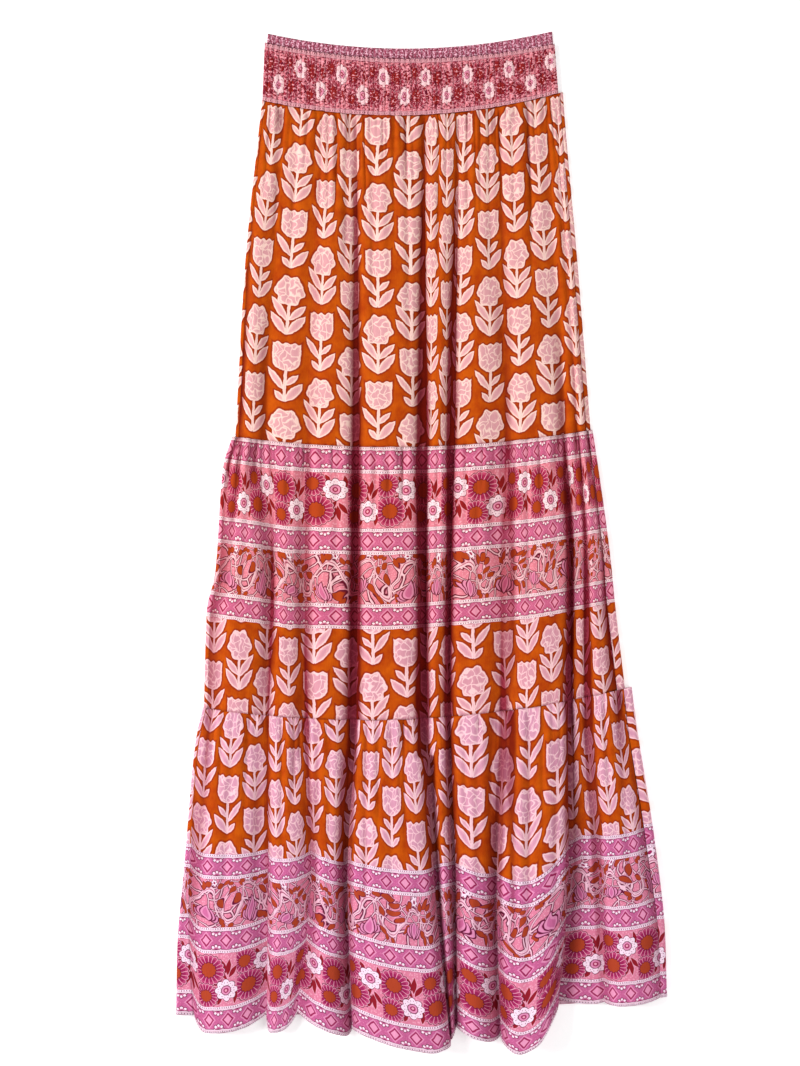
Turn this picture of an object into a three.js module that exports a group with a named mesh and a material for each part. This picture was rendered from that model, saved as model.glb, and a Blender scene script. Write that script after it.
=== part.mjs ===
import * as THREE from 'three';

// Tiered maxi skirt lying flat on its back, waist towards +Y, hem towards -Y.
// The back panels lie on the surface (z = 0) and the front panels lie over them
// in long soft flutes that rise towards the hem. Millimetres.

// Cloth
const CLOTH = 1.2;          // wall of a cotton panel
const BAND_CLOTH = 2.0;     // wall of the waistband, cloth over rows of elastic
const SEAM_GAP = 0.3;       // space left between two pieces at a seam
const LAYER_GAP = 0.3;      // space between the back panels and what lies on them
const BACK_LEVEL = CLOTH / 2;

// Waistband
const BAND_RIDGE = 0.9;     // height of a shirring ridge over the band's outer face
const BAND_RIDGES = 56;     // ridges across the front half
const BAND_LIFT = BAND_CLOTH * 1.5 + LAYER_GAP;
const BAND_ARCH = 1.5;      // how far the middle of the front band stands up

// Seam ruffles: the small gathers where a wide tier is sewn to a narrow one
const RUFFLE_HEIGHT = 3.0;  // how far a gather stands over the cloth beside it
const RUFFLE_PUFF = 1.6;    // how far the cloth swells just below a gathered seam
const RUFFLE_START = 0.35;  // share of a ruffle's height right at the seam
const RUFFLE_RISE = 0.07;   // share of the tier's length over which a ruffle swells
const RUFFLE_FADE = 0.55;   // share of the tier's length where it has died away
const COLUMNS_PER_RUFFLE = 4;

// Cross lines: height up the skirt at the left end, the middle and the right end,
// and the places across of those ends
const LINES = {
  bandBackTop: { left: 532, middle: 516.5, right: 534.5, from: -161, to: 137 },
  bandFrontTop: { left: 522, middle: 505, right: 521, from: -164, to: 139 },
  waist: { left: 462, middle: 446, right: 471, from: -168, to: 149 },
  seam1: { left: 109.5, middle: 98.5, right: 116.5, from: -198, to: 179 },
  seam2: { left: -175, middle: -186, right: -153, from: -229, to: 220 },
  backHem: { left: -497, middle: -494, right: -478, from: -257, to: 257 },
};

// Side edges of the laid skirt, a row for each height where the outline turns.
// share: how far down the tier; wrapLeft and wrapRight: how far the back panel
// turns up round that side and lies over the front, to the side seam
const EDGES = {
  tier1: [
    { share: 0.00, left: -167, right: 148, wrapLeft: 2.2, wrapRight: 2.2 },
    { share: 0.08, left: -170, right: 150, wrapLeft: 2.5, wrapRight: 3.0 },
    { share: 0.50, left: -185, right: 163, wrapLeft: 2.8, wrapRight: 4.0 },
    { share: 1.00, left: -195, right: 177, wrapLeft: 3.0, wrapRight: 4.0 },
  ],
  tier2: [
    { share: 0.00, left: -198, right: 179, wrapLeft: 3.0, wrapRight: 4.0 },
    { share: 0.12, left: -208, right: 184, wrapLeft: 3.0, wrapRight: 5.0 },
    { share: 0.50, left: -216, right: 198, wrapLeft: 3.5, wrapRight: 7.0 },
    { share: 0.65, left: -225, right: 202, wrapLeft: 3.5, wrapRight: 8.0 },
    { share: 1.00, left: -228, right: 213, wrapLeft: 3.5, wrapRight: 8.0 },
  ],
  tier3: [
    { share: 0.00, left: -229, right: 220, wrapLeft: 3.5, wrapRight: 8.0 },
    { share: 0.12, left: -237, right: 225, wrapLeft: 3.5, wrapRight: 9.0 },
    { share: 0.50, left: -248, right: 244, wrapLeft: 6.0, wrapRight: 9.0 },
    { share: 0.80, left: -256, right: 255, wrapLeft: 13.0, wrapRight: 7.0 },
    { share: 1.00, left: -257, right: 257, wrapLeft: 18.0, wrapRight: 6.0 },
  ],
};
const LEFT_SEAM_LEVEL = [4.0, 4.5, 5.0, 5.0, 5.5, 6.0];
const RIGHT_SEAM_LEVEL = [4.0, 5.0, 7.0, 7.0, 9.0, 8.0];
const BAND_EDGES = {
  back: { leftTop: -161, leftBottom: -166, rightTop: 137, rightBottom: 143 },
  front: { leftTop: -164, leftBottom: -166.5, rightTop: 139, rightBottom: 143 },
};

// The fold tables give six values each, at these levels down the skirt: waist,
// seam 1, middle of tier 2, seam 2, middle of tier 3, hem.

// Troughs between the flutes of the front, left to right: place across at each
// level, height of the cloth's middle over the surface there, and the hem there
const TROUGHS = [
  { x: [-141, -163, -151, -163, -161, -162], z: [4.0, 5.0, 7.0, 6.0, 9.0, 8.0], hem: -495 },
  { x: [-107, -122, -122, -123, -115, -130], z: [4.0, 5.0, 6.0, 6.0, 8.0, 7.0], hem: -493.5 },
  { x: [-66, -70, -73, -73, -79, -72], z: [3.6, 3.6, 3.6, 3.6, 3.6, 3.6], hem: -510 },
  { x: [-16, -1, -1, 0, 9, 27], z: [4.0, 5.0, 6.0, 6.0, 9.0, 17.0], hem: -526 },
  { x: [35, 31, 30, 31, 36, 37], z: [3.6, 3.6, 3.6, 3.6, 3.6, 3.6], hem: -508 },
  { x: [87, 82, 77, 79, 79, 86], z: [4.0, 5.0, 6.0, 5.0, 6.0, 5.0], hem: -519 },
  { x: [128, 150, 154, 152, 152, 141], z: [3.6, 3.6, 3.6, 3.6, 3.6, 3.6], hem: -480 },
  { x: [138, 163, 177, 179, 177, 192], z: [4.0, 5.0, 6.0, 6.0, 8.0, 9.0], hem: -483 },
];
const LEFT_EDGE_HEM = -497;
const RIGHT_EDGE_HEM = -478;

// Flutes, left to right: crest height at each level, place of the crest across
// the flute (0 left to 1 right), lowest point of the hem and its place across
// the flute, and the number of seam ruffles it carries at the top of each tier
const FLUTES = [
  { crest: [6, 9, 14, 13, 20, 22], lean: 0.40, hem: -515, hemLean: 0.20, ruffles: [2, 2, 4] },
  { crest: [5, 7, 10, 9, 13, 14], lean: 0.40, hem: -515, hemLean: 0.18, ruffles: [3, 3, 2] },
  { crest: [6, 9, 12, 11, 17, 22], lean: 0.60, hem: -518, hemLean: 0.82, ruffles: [2, 3, 3] },
  { crest: [7, 13, 18, 17, 27, 32], lean: 0.60, hem: -533, hemLean: 0.75, ruffles: [3, 4, 4] },
  { crest: [6, 7, 9, 9, 14, 16], lean: 0.45, hem: -524, hemLean: 0.15, ruffles: [3, 2, 2] },
  { crest: [6, 10, 13, 12, 18, 22], lean: 0.50, hem: -523, hemLean: 0.62, ruffles: [3, 3, 3] },
  { crest: [7, 13, 18, 18, 27, 32], lean: 0.66, hem: -529, hemLean: 0.58, ruffles: [3, 4, 4] },
  { crest: [5, 6, 8, 9, 11, 12], lean: 0.50, hem: -485, hemLean: 0.60, ruffles: [1, 1, 2] },
  { crest: [5, 8, 13, 13, 20, 22], lean: 0.40, hem: -486, hemLean: 0.40, ruffles: [1, 1, 2] },
];
const FLUTE_ROUND = 2.3;    // power of a flute's section: 2 is a parabola, more is fuller
const HEM_ROUND = 2.6;      // the same for the curve of the hem under a flute

// Low folds of the back panels, under the tall flutes of the front
const BACK_FOLDS = [
  { x: [-150, -175, -190, -200, -205, -207], width: 26, height: [0, 0.8, 2.0, 2.0, 4.0, 5.0] },
  { x: [-40, -34, -36, -36, -36, -30], width: 34, height: [0, 1.0, 3.5, 3.5, 6.0, 7.0] },
  { x: [60, 57, 54, 55, 56, 60], width: 22, height: [0, 0.8, 2.0, 2.0, 3.0, 4.0] },
  { x: [110, 118, 118, 118, 118, 116], width: 28, height: [0, 1.0, 3.5, 3.5, 6.0, 7.0] },
];

// Rows and columns of the walls
const ROWS = {
  tier1: [0, 0.05, 0.14, 0.32, 0.58, 0.82, 1],
  tier2: [0, 0.06, 0.16, 0.38, 0.62, 0.84, 1],
  tier3: [0, 0.05, 0.13, 0.30, 0.50, 0.68, 0.86, 1],
};
const BAND_ROWS = [0, 0.5, 1];
const STEPS_PER_STRETCH = 4;  // columns over each low fold, and over each flat beside it
const TURN_STEPS = 6;          // columns round a turned-up side edge
const BAND_BACK_COLUMNS = 24;

// Each tier's cross lines, its levels in the fold tables and its colour
const TIERS = {
  tier1: { order: 0, top: 'waist', bottom: 'seam1', levels: [0, 1], colour: 0xcb5c10 },
  tier2: { order: 1, top: 'seam1', bottom: 'seam2', levels: [1, 2, 3], colour: 0xd9668c },
  tier3: { order: 2, top: 'seam2', bottom: null, levels: [3, 4, 5], colour: 0xc85a52 },
};
const BAND_COLOUR = 0xb5506a;

const lerp = THREE.MathUtils.lerp;
const clamp = THREE.MathUtils.clamp;

// Height up the skirt of a cross line, at a place across
function lineAt(name, x) {
  const { left, middle, right, from, to } = LINES[name];
  const u = (x - from) / (to - from);
  return left * (1 - u) * (1 - 2 * u) + middle * 4 * u * (1 - u) + right * u * (2 * u - 1);
}

// A value from a row of the level tables, at a share of the way down a tier
function atLevel(values, tier, share) {
  const { levels } = TIERS[tier];
  const place = share * (levels.length - 1);
  const step = Math.min(Math.floor(place), levels.length - 2);
  return lerp(values[levels[step]], values[levels[step + 1]], place - step);
}

// A value from the side-edge table, at a share of the way down a tier
function atEdge(tier, column, share) {
  const rows = EDGES[tier];
  const next = clamp(rows.findIndex((row) => row.share >= share), 1, rows.length - 1);
  const above = rows[next - 1];
  const below = rows[next];
  return lerp(above[column], below[column], (share - above.share) / (below.share - above.share));
}

// 0 at both ends of a span and 1 at the crest, which stands at lean
function rounded(u, lean, power) {
  const away = u < lean ? (lean - u) / lean : (u - lean) / (1 - lean);
  return 1 - away ** power;
}

// A closed wall round a grid of middle points, rows down and columns across.
// lift raises single points of the upper face over the plain lower one, and
// sideSeams keeps the end columns upright, so that they meet their neighbours
function wall(name, rows, { thickness, colour, lift = () => 0, sideSeams = false }) {
  const last = rows.length - 1;
  const end = rows[0].length - 1;
  const along = new THREE.Vector3();
  const down = new THREE.Vector3();
  const upper = [];
  const lower = [];
  rows.forEach((row, r) => row.forEach((point, c) => {
    along.subVectors(row[Math.min(c + 1, end)], row[Math.max(c - 1, 0)]);
    down.subVectors(rows[Math.min(r + 1, last)][c], rows[Math.max(r - 1, 0)][c]);
    const normal = new THREE.Vector3().crossVectors(down, along);
    if (r === 0 || r === last) normal.y = 0;
    if (sideSeams && (c === 0 || c === end)) normal.x = 0;
    normal.normalize();
    upper.push(point.clone().addScaledVector(normal, thickness / 2 + lift(r, c)));
    lower.push(point.clone().addScaledVector(normal, -thickness / 2));
  }));

  const up = (r, c) => r * (end + 1) + c;
  const low = (r, c) => upper.length + up(r, c);
  const index = [];
  const quad = (a, b, c, d) => index.push(a, b, c, a, c, d);
  for (let r = 0; r < last; r += 1) {
    for (let c = 0; c < end; c += 1) {
      quad(up(r, c), up(r + 1, c), up(r + 1, c + 1), up(r, c + 1));
      quad(low(r, c), low(r, c + 1), low(r + 1, c + 1), low(r + 1, c));
    }
    quad(up(r + 1, 0), up(r, 0), low(r, 0), low(r + 1, 0));
    quad(up(r, end), up(r + 1, end), low(r + 1, end), low(r, end));
  }
  for (let c = 0; c < end; c += 1) {
    quad(up(0, c), up(0, c + 1), low(0, c + 1), low(0, c));
    quad(up(last, c + 1), up(last, c), low(last, c), low(last, c + 1));
  }

  const geometry = new THREE.BufferGeometry().setFromPoints([...upper, ...lower]);
  geometry.setIndex(index);
  geometry.computeVertexNormals();
  const material = new THREE.MeshStandardMaterial({ color: colour, roughness: 0.85, metalness: 0 });
  const mesh = new THREE.Mesh(geometry, material);
  mesh.name = name;
  return mesh;
}

// How strongly the seam ruffles stand up, at a share of the way down a tier
function ruffleStrength(share) {
  if (share < RUFFLE_RISE) return lerp(RUFFLE_START, 1, share / RUFFLE_RISE);
  return 1 - THREE.MathUtils.smoothstep(share, RUFFLE_RISE, RUFFLE_FADE);
}

// The two troughs beside a flute: place across, height and hem at a share down
function fluteSides(tier, flute, share) {
  const side = (trough) => ({
    x: atLevel(trough.x, tier, share), z: atLevel(trough.z, tier, share), hem: trough.hem,
  });
  const left = flute === 0
    ? {
      x: atEdge(tier, 'left', share) + atEdge(tier, 'wrapLeft', share) + SEAM_GAP,
      z: atLevel(LEFT_SEAM_LEVEL, tier, share),
      hem: LEFT_EDGE_HEM,
    }
    : side(TROUGHS[flute - 1]);
  const right = flute === TROUGHS.length
    ? {
      x: atEdge(tier, 'right', share) - atEdge(tier, 'wrapRight', share) - SEAM_GAP,
      z: atLevel(RIGHT_SEAM_LEVEL, tier, share),
      hem: RIGHT_EDGE_HEM,
    }
    : side(TROUGHS[flute]);
  return { left, right };
}

// A middle point of a front panel: u is the place across one flute
function frontPoint(tier, flute, u, share) {
  const { crest, lean, hem, hemLean, ruffles } = FLUTES[flute];
  const { left, right } = fluteSides(tier, flute, share);
  const x = lerp(left.x, right.x, u);

  const rise = atLevel(crest, tier, share) - lerp(left.z, right.z, lean);
  const ruffle = 0.5 - 0.5 * Math.cos(2 * Math.PI * ruffles[TIERS[tier].order] * u);
  const crown = rounded(u, lean, FLUTE_ROUND);
  const swell = ruffleStrength(share) * (RUFFLE_HEIGHT * ruffle + RUFFLE_PUFF * crown);
  const z = lerp(left.z, right.z, u) + rise * crown + swell;

  const top = lineAt(TIERS[tier].top, x) - SEAM_GAP / 2;
  const drop = hem - lerp(left.hem, right.hem, hemLean);
  const hemAt = lerp(left.hem, right.hem, u) + drop * rounded(u, hemLean, HEM_ROUND);
  const bottom = TIERS[tier].bottom ? lineAt(TIERS[tier].bottom, x) + SEAM_GAP / 2 : hemAt;
  return new THREE.Vector3(x, lerp(top, bottom, share), z);
}

function frontPanel(tier) {
  const rows = ROWS[tier].map((share) => {
    const points = [];
    FLUTES.forEach(({ ruffles }, flute) => {
      const columns = ruffles[TIERS[tier].order] * COLUMNS_PER_RUFFLE;
      const first = flute === 0 ? 0 : 1;
      for (let c = first; c <= columns; c += 1) points.push(frontPoint(tier, flute, c / columns, share));
    });
    return points;
  });
  return wall(`${tier}_front`, rows, { thickness: CLOTH, colour: TIERS[tier].colour, sideSeams: true });
}

// Places across for the columns of a back panel, over each low fold and each
// flat stretch between them
function backColumns(tier, share, from, to) {
  const stops = [from];
  BACK_FOLDS.forEach(({ x, width }) => {
    const middle = atLevel(x, tier, share);
    stops.push(middle - width / 2, middle + width / 2);
  });
  stops.push(to);
  const places = [from];
  for (let s = 1; s < stops.length; s += 1) {
    for (let k = 1; k <= STEPS_PER_STRETCH; k += 1) {
      places.push(lerp(stops[s - 1], stops[s], k / STEPS_PER_STRETCH));
    }
  }
  return places;
}

// Height of a back panel's middle: flat on the surface but for its low folds
function backHeight(tier, share, x) {
  return BACK_FOLDS.reduce((z, fold) => {
    const away = clamp((x - atLevel(fold.x, tier, share)) / fold.width, -0.5, 0.5);
    return z + atLevel(fold.height, tier, share) * Math.cos(Math.PI * away) ** 2;
  }, BACK_LEVEL);
}

// Middle points of an edge that turns up from the surface, round the side and
// over to the seam: how far in from the side, and how high
function turnedEdge(level, wrap) {
  const radius = (level - BACK_LEVEL) / 2;
  const points = [];
  for (let k = 0; k <= TURN_STEPS; k += 1) {
    const angle = (k / TURN_STEPS) * Math.PI;
    points.push({ inward: radius * (1 - Math.sin(angle)), z: BACK_LEVEL + radius * (1 - Math.cos(angle)) });
  }
  points.push({ inward: wrap, z: level });
  return points;
}

// A back panel lies flat and turns up round both sides to the side seams
function backPanel(tier) {
  const rows = ROWS[tier].map((share) => {
    const left = atEdge(tier, 'left', share);
    const right = atEdge(tier, 'right', share);
    const leftTurn = turnedEdge(atLevel(LEFT_SEAM_LEVEL, tier, share), atEdge(tier, 'wrapLeft', share));
    const rightTurn = turnedEdge(atLevel(RIGHT_SEAM_LEVEL, tier, share), atEdge(tier, 'wrapRight', share));
    const flat = backColumns(tier, share, left + leftTurn[0].inward, right - rightTurn[0].inward);
    const section = [
      ...leftTurn.slice(1).reverse().map(({ inward, z }) => ({ x: left + inward, z })),
      ...flat.map((x) => ({ x, z: backHeight(tier, share, x) })),
      ...rightTurn.slice(1).map(({ inward, z }) => ({ x: right - inward, z })),
    ];
    return section.map(({ x, z }) => {
      const top = lineAt(TIERS[tier].top, x) - SEAM_GAP / 2;
      const bottom = TIERS[tier].bottom ? lineAt(TIERS[tier].bottom, x) + SEAM_GAP / 2 : lineAt('backHem', x);
      return new THREE.Vector3(x, lerp(top, bottom, share), z);
    });
  });
  return wall(`${tier}_back`, rows, { thickness: CLOTH, colour: TIERS[tier].colour, sideSeams: true });
}

// One half of the waistband: flat, or arched a little and ridged by its elastic
function band(side, topLine, columns, height, lift) {
  const { leftTop, leftBottom, rightTop, rightBottom } = BAND_EDGES[side];
  const rows = BAND_ROWS.map((share) => {
    const points = [];
    for (let c = 0; c <= columns; c += 1) {
      const u = c / columns;
      const x = lerp(lerp(leftTop, leftBottom, share), lerp(rightTop, rightBottom, share), u);
      const y = lerp(lineAt(topLine, x), lineAt('waist', x) + SEAM_GAP / 2, share);
      points.push(new THREE.Vector3(x, y, height(u)));
    }
    return points;
  });
  return wall(`waistband_${side}`, rows, { thickness: BAND_CLOTH, colour: BAND_COLOUR, lift });
}

const bandBack = band('back', 'bandBackTop', BAND_BACK_COLUMNS, () => BAND_CLOTH / 2);
const bandFront = band(
  'front',
  'bandFrontTop',
  BAND_RIDGES * 2,
  (u) => BAND_LIFT + BAND_ARCH * Math.sin(Math.PI * u),
  (r, c) => (c % 2 === 1 ? BAND_RIDGE : 0),
);

const skirt = new THREE.Group();
skirt.add(bandFront, bandBack);
Object.keys(TIERS).forEach((tier) => skirt.add(frontPanel(tier), backPanel(tier)));

// The origin is the middle of the laid skirt, on the surface
const box = new THREE.Box3().setFromObject(skirt);
skirt.position.set(-(box.min.x + box.max.x) / 2, -(box.min.y + box.max.y) / 2, 0);

export default skirt;
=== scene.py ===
"""A tiered maxi skirt lying flat: gathered cotton, block print, stitching, floor, light and camera.

Tables are in millimetres, in the skirt's own frame: +X to the right, +Y up the skirt, +Z off the surface.
"""

import math

import bpy
import mathutils
import numpy as np
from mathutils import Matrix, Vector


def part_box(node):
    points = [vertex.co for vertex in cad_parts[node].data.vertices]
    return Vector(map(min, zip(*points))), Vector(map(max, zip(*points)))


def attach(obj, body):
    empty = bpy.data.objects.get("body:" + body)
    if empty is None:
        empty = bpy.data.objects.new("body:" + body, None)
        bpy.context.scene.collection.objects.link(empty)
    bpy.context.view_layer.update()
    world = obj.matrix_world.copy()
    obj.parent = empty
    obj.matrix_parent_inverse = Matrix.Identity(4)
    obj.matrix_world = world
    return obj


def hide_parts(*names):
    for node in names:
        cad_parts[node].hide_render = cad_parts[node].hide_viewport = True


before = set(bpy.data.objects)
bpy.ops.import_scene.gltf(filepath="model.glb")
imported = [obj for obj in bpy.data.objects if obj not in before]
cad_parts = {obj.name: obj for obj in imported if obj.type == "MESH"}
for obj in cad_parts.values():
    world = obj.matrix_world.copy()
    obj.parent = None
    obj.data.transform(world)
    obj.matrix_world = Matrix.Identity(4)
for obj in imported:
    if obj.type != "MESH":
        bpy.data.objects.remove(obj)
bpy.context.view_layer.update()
MM = 0.001
SEED = 41

# Cloth
CLOTH = 0.8                  # wall of a panel's shell
BAND_CLOTH = {"back": 1.2, "front": 1.6}   # walls of the waistband's shells, cloth over elastic
HEM_TURN = 7.0               # depth of the turned hem
HEM_CLOTH = 1.5              # wall where the hem is turned
SEAM_DIP = 1.3               # how far down a seam pulls the two edges that meet there
BACK_LEVEL = 0.5             # height of the back panels' middle
SEAM_GAP = 0.3               # from a front panel's side to the edge of the back panel at the side seam
LOWEST_FRONT = 3.3           # the front's middle lies no lower than this over the surface
LAYER_GAP = 0.15             # space left between a back panel and the front that lies on it
ROOM_CELL = 3.0              # cell of the map that says how low the fronts lie

# Cross lines: height up the skirt at the left end, the middle and the right end,
# and the places across of those ends
LINES = {
    "bandBackTop": (532.0, 516.5, 534.5, -161.0, 137.0),
    "bandFrontTop": (522.0, 505.0, 521.0, -164.0, 139.0),
    "waist": (462.0, 446.0, 471.0, -168.0, 149.0),
    "seam1": (109.5, 98.5, 116.5, -198.0, 179.0),
    "seam2": (-175.0, -186.0, -153.0, -229.0, 220.0),
    "backHem": (-497.0, -494.0, -478.0, -257.0, 257.0),
}

# Side edges of the laid skirt: share down the tier, left, right, and how far the back
# panel turns up round each side before the side seam
EDGES = {
    "tier1": ((0.00, -167, 148, 2.2, 2.2), (0.08, -170, 150, 2.5, 3.0), (0.50, -185, 163, 2.8, 4.0),
              (1.00, -195, 177, 3.0, 4.0)),
    "tier2": ((0.00, -198, 179, 3.0, 4.0), (0.12, -208, 184, 3.0, 5.0), (0.50, -216, 198, 3.5, 7.0),
              (0.65, -225, 202, 3.5, 8.0), (1.00, -228, 213, 3.5, 8.0)),
    "tier3": ((0.00, -229, 220, 3.5, 8.0), (0.12, -237, 225, 3.5, 9.0), (0.50, -248, 244, 6.0, 9.0),
              (0.80, -256, 255, 13.0, 7.0), (1.00, -257, 257, 18.0, 6.0)),
}
SEAM_LEVEL = {"left": (4.0, 4.5, 5.0, 5.0, 5.5, 6.0), "right": (4.0, 5.0, 7.0, 7.0, 9.0, 8.0)}
EDGE_HEM = {"left": -497.0, "right": -478.0}
BAND_EDGES = {"back": (-161.0, -166.0, 137.0, 143.0), "front": (-164.0, -166.5, 139.0, 143.0)}

# The fold tables give six values each, at these levels down the skirt: waist, seam 1,
# middle of tier 2, seam 2, middle of tier 3, hem.
# Troughs between the flutes, left to right. x: place across. z: height. hem: the hem there.
# before, after: how wide the slope is on the trough's left and on its right. roll: how far
# the fold on the right leans over to the left (below 0, the fold on the left leans right).
# soft: how round the bottom is. floor: how wide the bottom is, on the side away from the roll
TROUGHS = (
    dict(x=(-141, -163, -155, -160, -161, -162), z=(4.0, 5.0, 6.0, 6.0, 7.0, 7.0), hem=-495,
         before=(12, 14, 20, 16, 18, 16), after=(12, 10, 4, 4, 5, 5), roll=(0, 0, 1.0, 1.0, 1.0, 1.5),
         soft=(3, 3, 0.6, 0.5, 0.5, 0.5), floor=(0, 0, 2, 3, 3, 2)),
    dict(x=(-107, -120, -122, -120, -115, -130), z=(4.0, 5.0, 5.5, 5.5, 6.0, 7.0), hem=-493.5,
         before=(9, 10, 12, 13, 16, 18), after=(7, 8, 8, 5, 5, 16), roll=(0, 0, 0, 0.6, 0.6, 0),
         soft=(1, 1.5, 1.5, 0.8, 0.8, 3), floor=(0, 0, 1, 3, 3, 0)),
    dict(x=(-68, -65, -66, -68, -77, -72), z=(3.2, 3.0, 3.0, 3.0, 3.0, 3.2), hem=-510,
         before=(5, 4, 4, 4, 7, 9), after=(3, 3, 3, 3, 3, 3), roll=(0.8, 1.4, 1.4, 1.4, 1.4, 1.2),
         soft=(0.3, 0.2, 0.2, 0.2, 0.2, 0.4), floor=(3, 6, 6.5, 7, 4, 2)),
    dict(x=(3, 6, 5, 5, 13, 29), z=(3.4, 3.2, 3.2, 3.6, 6.0, 11.0), hem=-526,
         before=(4, 4, 4, 4, 4, 4), after=(3, 3, 3, 4, 9, 9), roll=(0.6, 1.0, 1.0, 0.4, -2.0, -2.6),
         soft=(0.3, 0.2, 0.2, 0.3, 0.5, 0.6), floor=(1.5, 8, 5, 6, 4, 2)),
    dict(x=(40, 35.5, 31.5, 31, 36, 37), z=(3.4, 3.0, 3.0, 3.0, 3.0, 3.2), hem=-508,
         before=(4, 4, 3.5, 4, 6, 6), after=(3, 3, 3, 3, 3, 3), roll=(0.8, 1.4, 1.4, 1.4, 1.2, 1.0),
         soft=(0.3, 0.2, 0.2, 0.2, 0.2, 0.4), floor=(2, 6, 3, 3, 3, 2)),
    dict(x=(80, 88, 83, 84, 79, 83), z=(4.4, 6.0, 8.5, 7.0, 4.0, 4.0), hem=-519,
         before=(8, 11, 14, 12, 9, 9), after=(5, 8, 12, 9, 4, 4), roll=(0.2, 0, 0, 0, 0.8, 0.8),
         soft=(1.0, 1.5, 2.0, 1.5, 0.4, 0.5), floor=(0, 0, 0, 0, 2, 2)),
    dict(x=(128, 150, 154, 152, 152, 141), z=(5.0, 5.0, 3.6, 3.4, 3.4, 3.6), hem=-480,
         before=(12, 7, 3, 3, 3, 4), after=(12, 12, 13, 14, 16, 16), roll=(0, 0, -1.6, -2.0, -3.0, -3.6),
         soft=(4, 3, 0.4, 0.3, 0.3, 0.4), floor=(0, 0, 2, 5, 8, 8)),
    dict(x=(138, 163, 173, 174, 184, 192), z=(4.5, 5.5, 6.0, 5.6, 6.0, 8.0), hem=-483,
         before=(10, 10, 12, 12, 14, 14), after=(10, 9, 7, 5, 4, 6), roll=(0, 0, 0, 0.4, 0.8, 0.6),
         soft=(4, 3, 2, 0.8, 0.6, 1), floor=(0, 0, 0, 2, 2, 1)),
)

# Flutes, left to right. crest: height at each level. lean: place of the crest across the
# flute. hem: lowest point of the hem and its place across. flat: how much flat cloth each
# flute takes up in tiers 1, 2 and 3
FLUTES = (
    dict(crest=(8, 13, 17, 16, 20, 20), lean=0.42, hem=-515, hem_lean=0.22, flat=(43, 93, 98)),
    dict(crest=(7, 11, 14, 13, 15, 15), lean=0.42, hem=-515, hem_lean=0.18, flat=(44, 60, 76)),
    dict(crest=(8, 13, 16, 15, 19, 22), lean=0.50, hem=-518, hem_lean=0.82, flat=(67, 61, 71)),
    dict(crest=(9, 16, 21, 20, 28, 32), lean=0.48, hem=-533, hem_lean=0.75, flat=(89, 98, 139)),
    dict(crest=(8, 13, 14, 14, 17, 17), lean=0.45, hem=-524, hem_lean=0.15, flat=(91, 55, 46)),
    dict(crest=(8, 14, 17, 16, 20, 22), lean=0.42, hem=-523, hem_lean=0.62, flat=(68, 63, 53)),
    dict(crest=(9, 16, 22, 22, 29, 32), lean=0.58, hem=-529, hem_lean=0.58, flat=(75, 127, 96)),
    dict(crest=(7, 10, 10, 9, 8, 9), lean=0.55, hem=-485, hem_lean=0.60, flat=(16, 44, 47)),
    dict(crest=(7, 12, 16, 17, 21, 22), lean=0.40, hem=-486, hem_lean=0.40, flat=(18, 54, 85)),
)
HEM_ROUND = 2.6              # power of the hem's curve across a flute: higher is squarer

# How much lower than its even share the print lies at mid height in each flute, as a share
# of the tier: tiers 1, 2 and 3
PRINT_DROP = {
    "tier1": (0, 0, 0, 0, 0, 0, 0, 0, 0),
    "tier2": (0.00, 0.012, 0.004, 0.004, 0.0, 0.0, 0.004, 0.0, 0.0),
    "tier3": (0.0, 0.004, 0.004, 0.008, 0.01, 0.04, 0.056, 0.004, 0.012),
}

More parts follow.
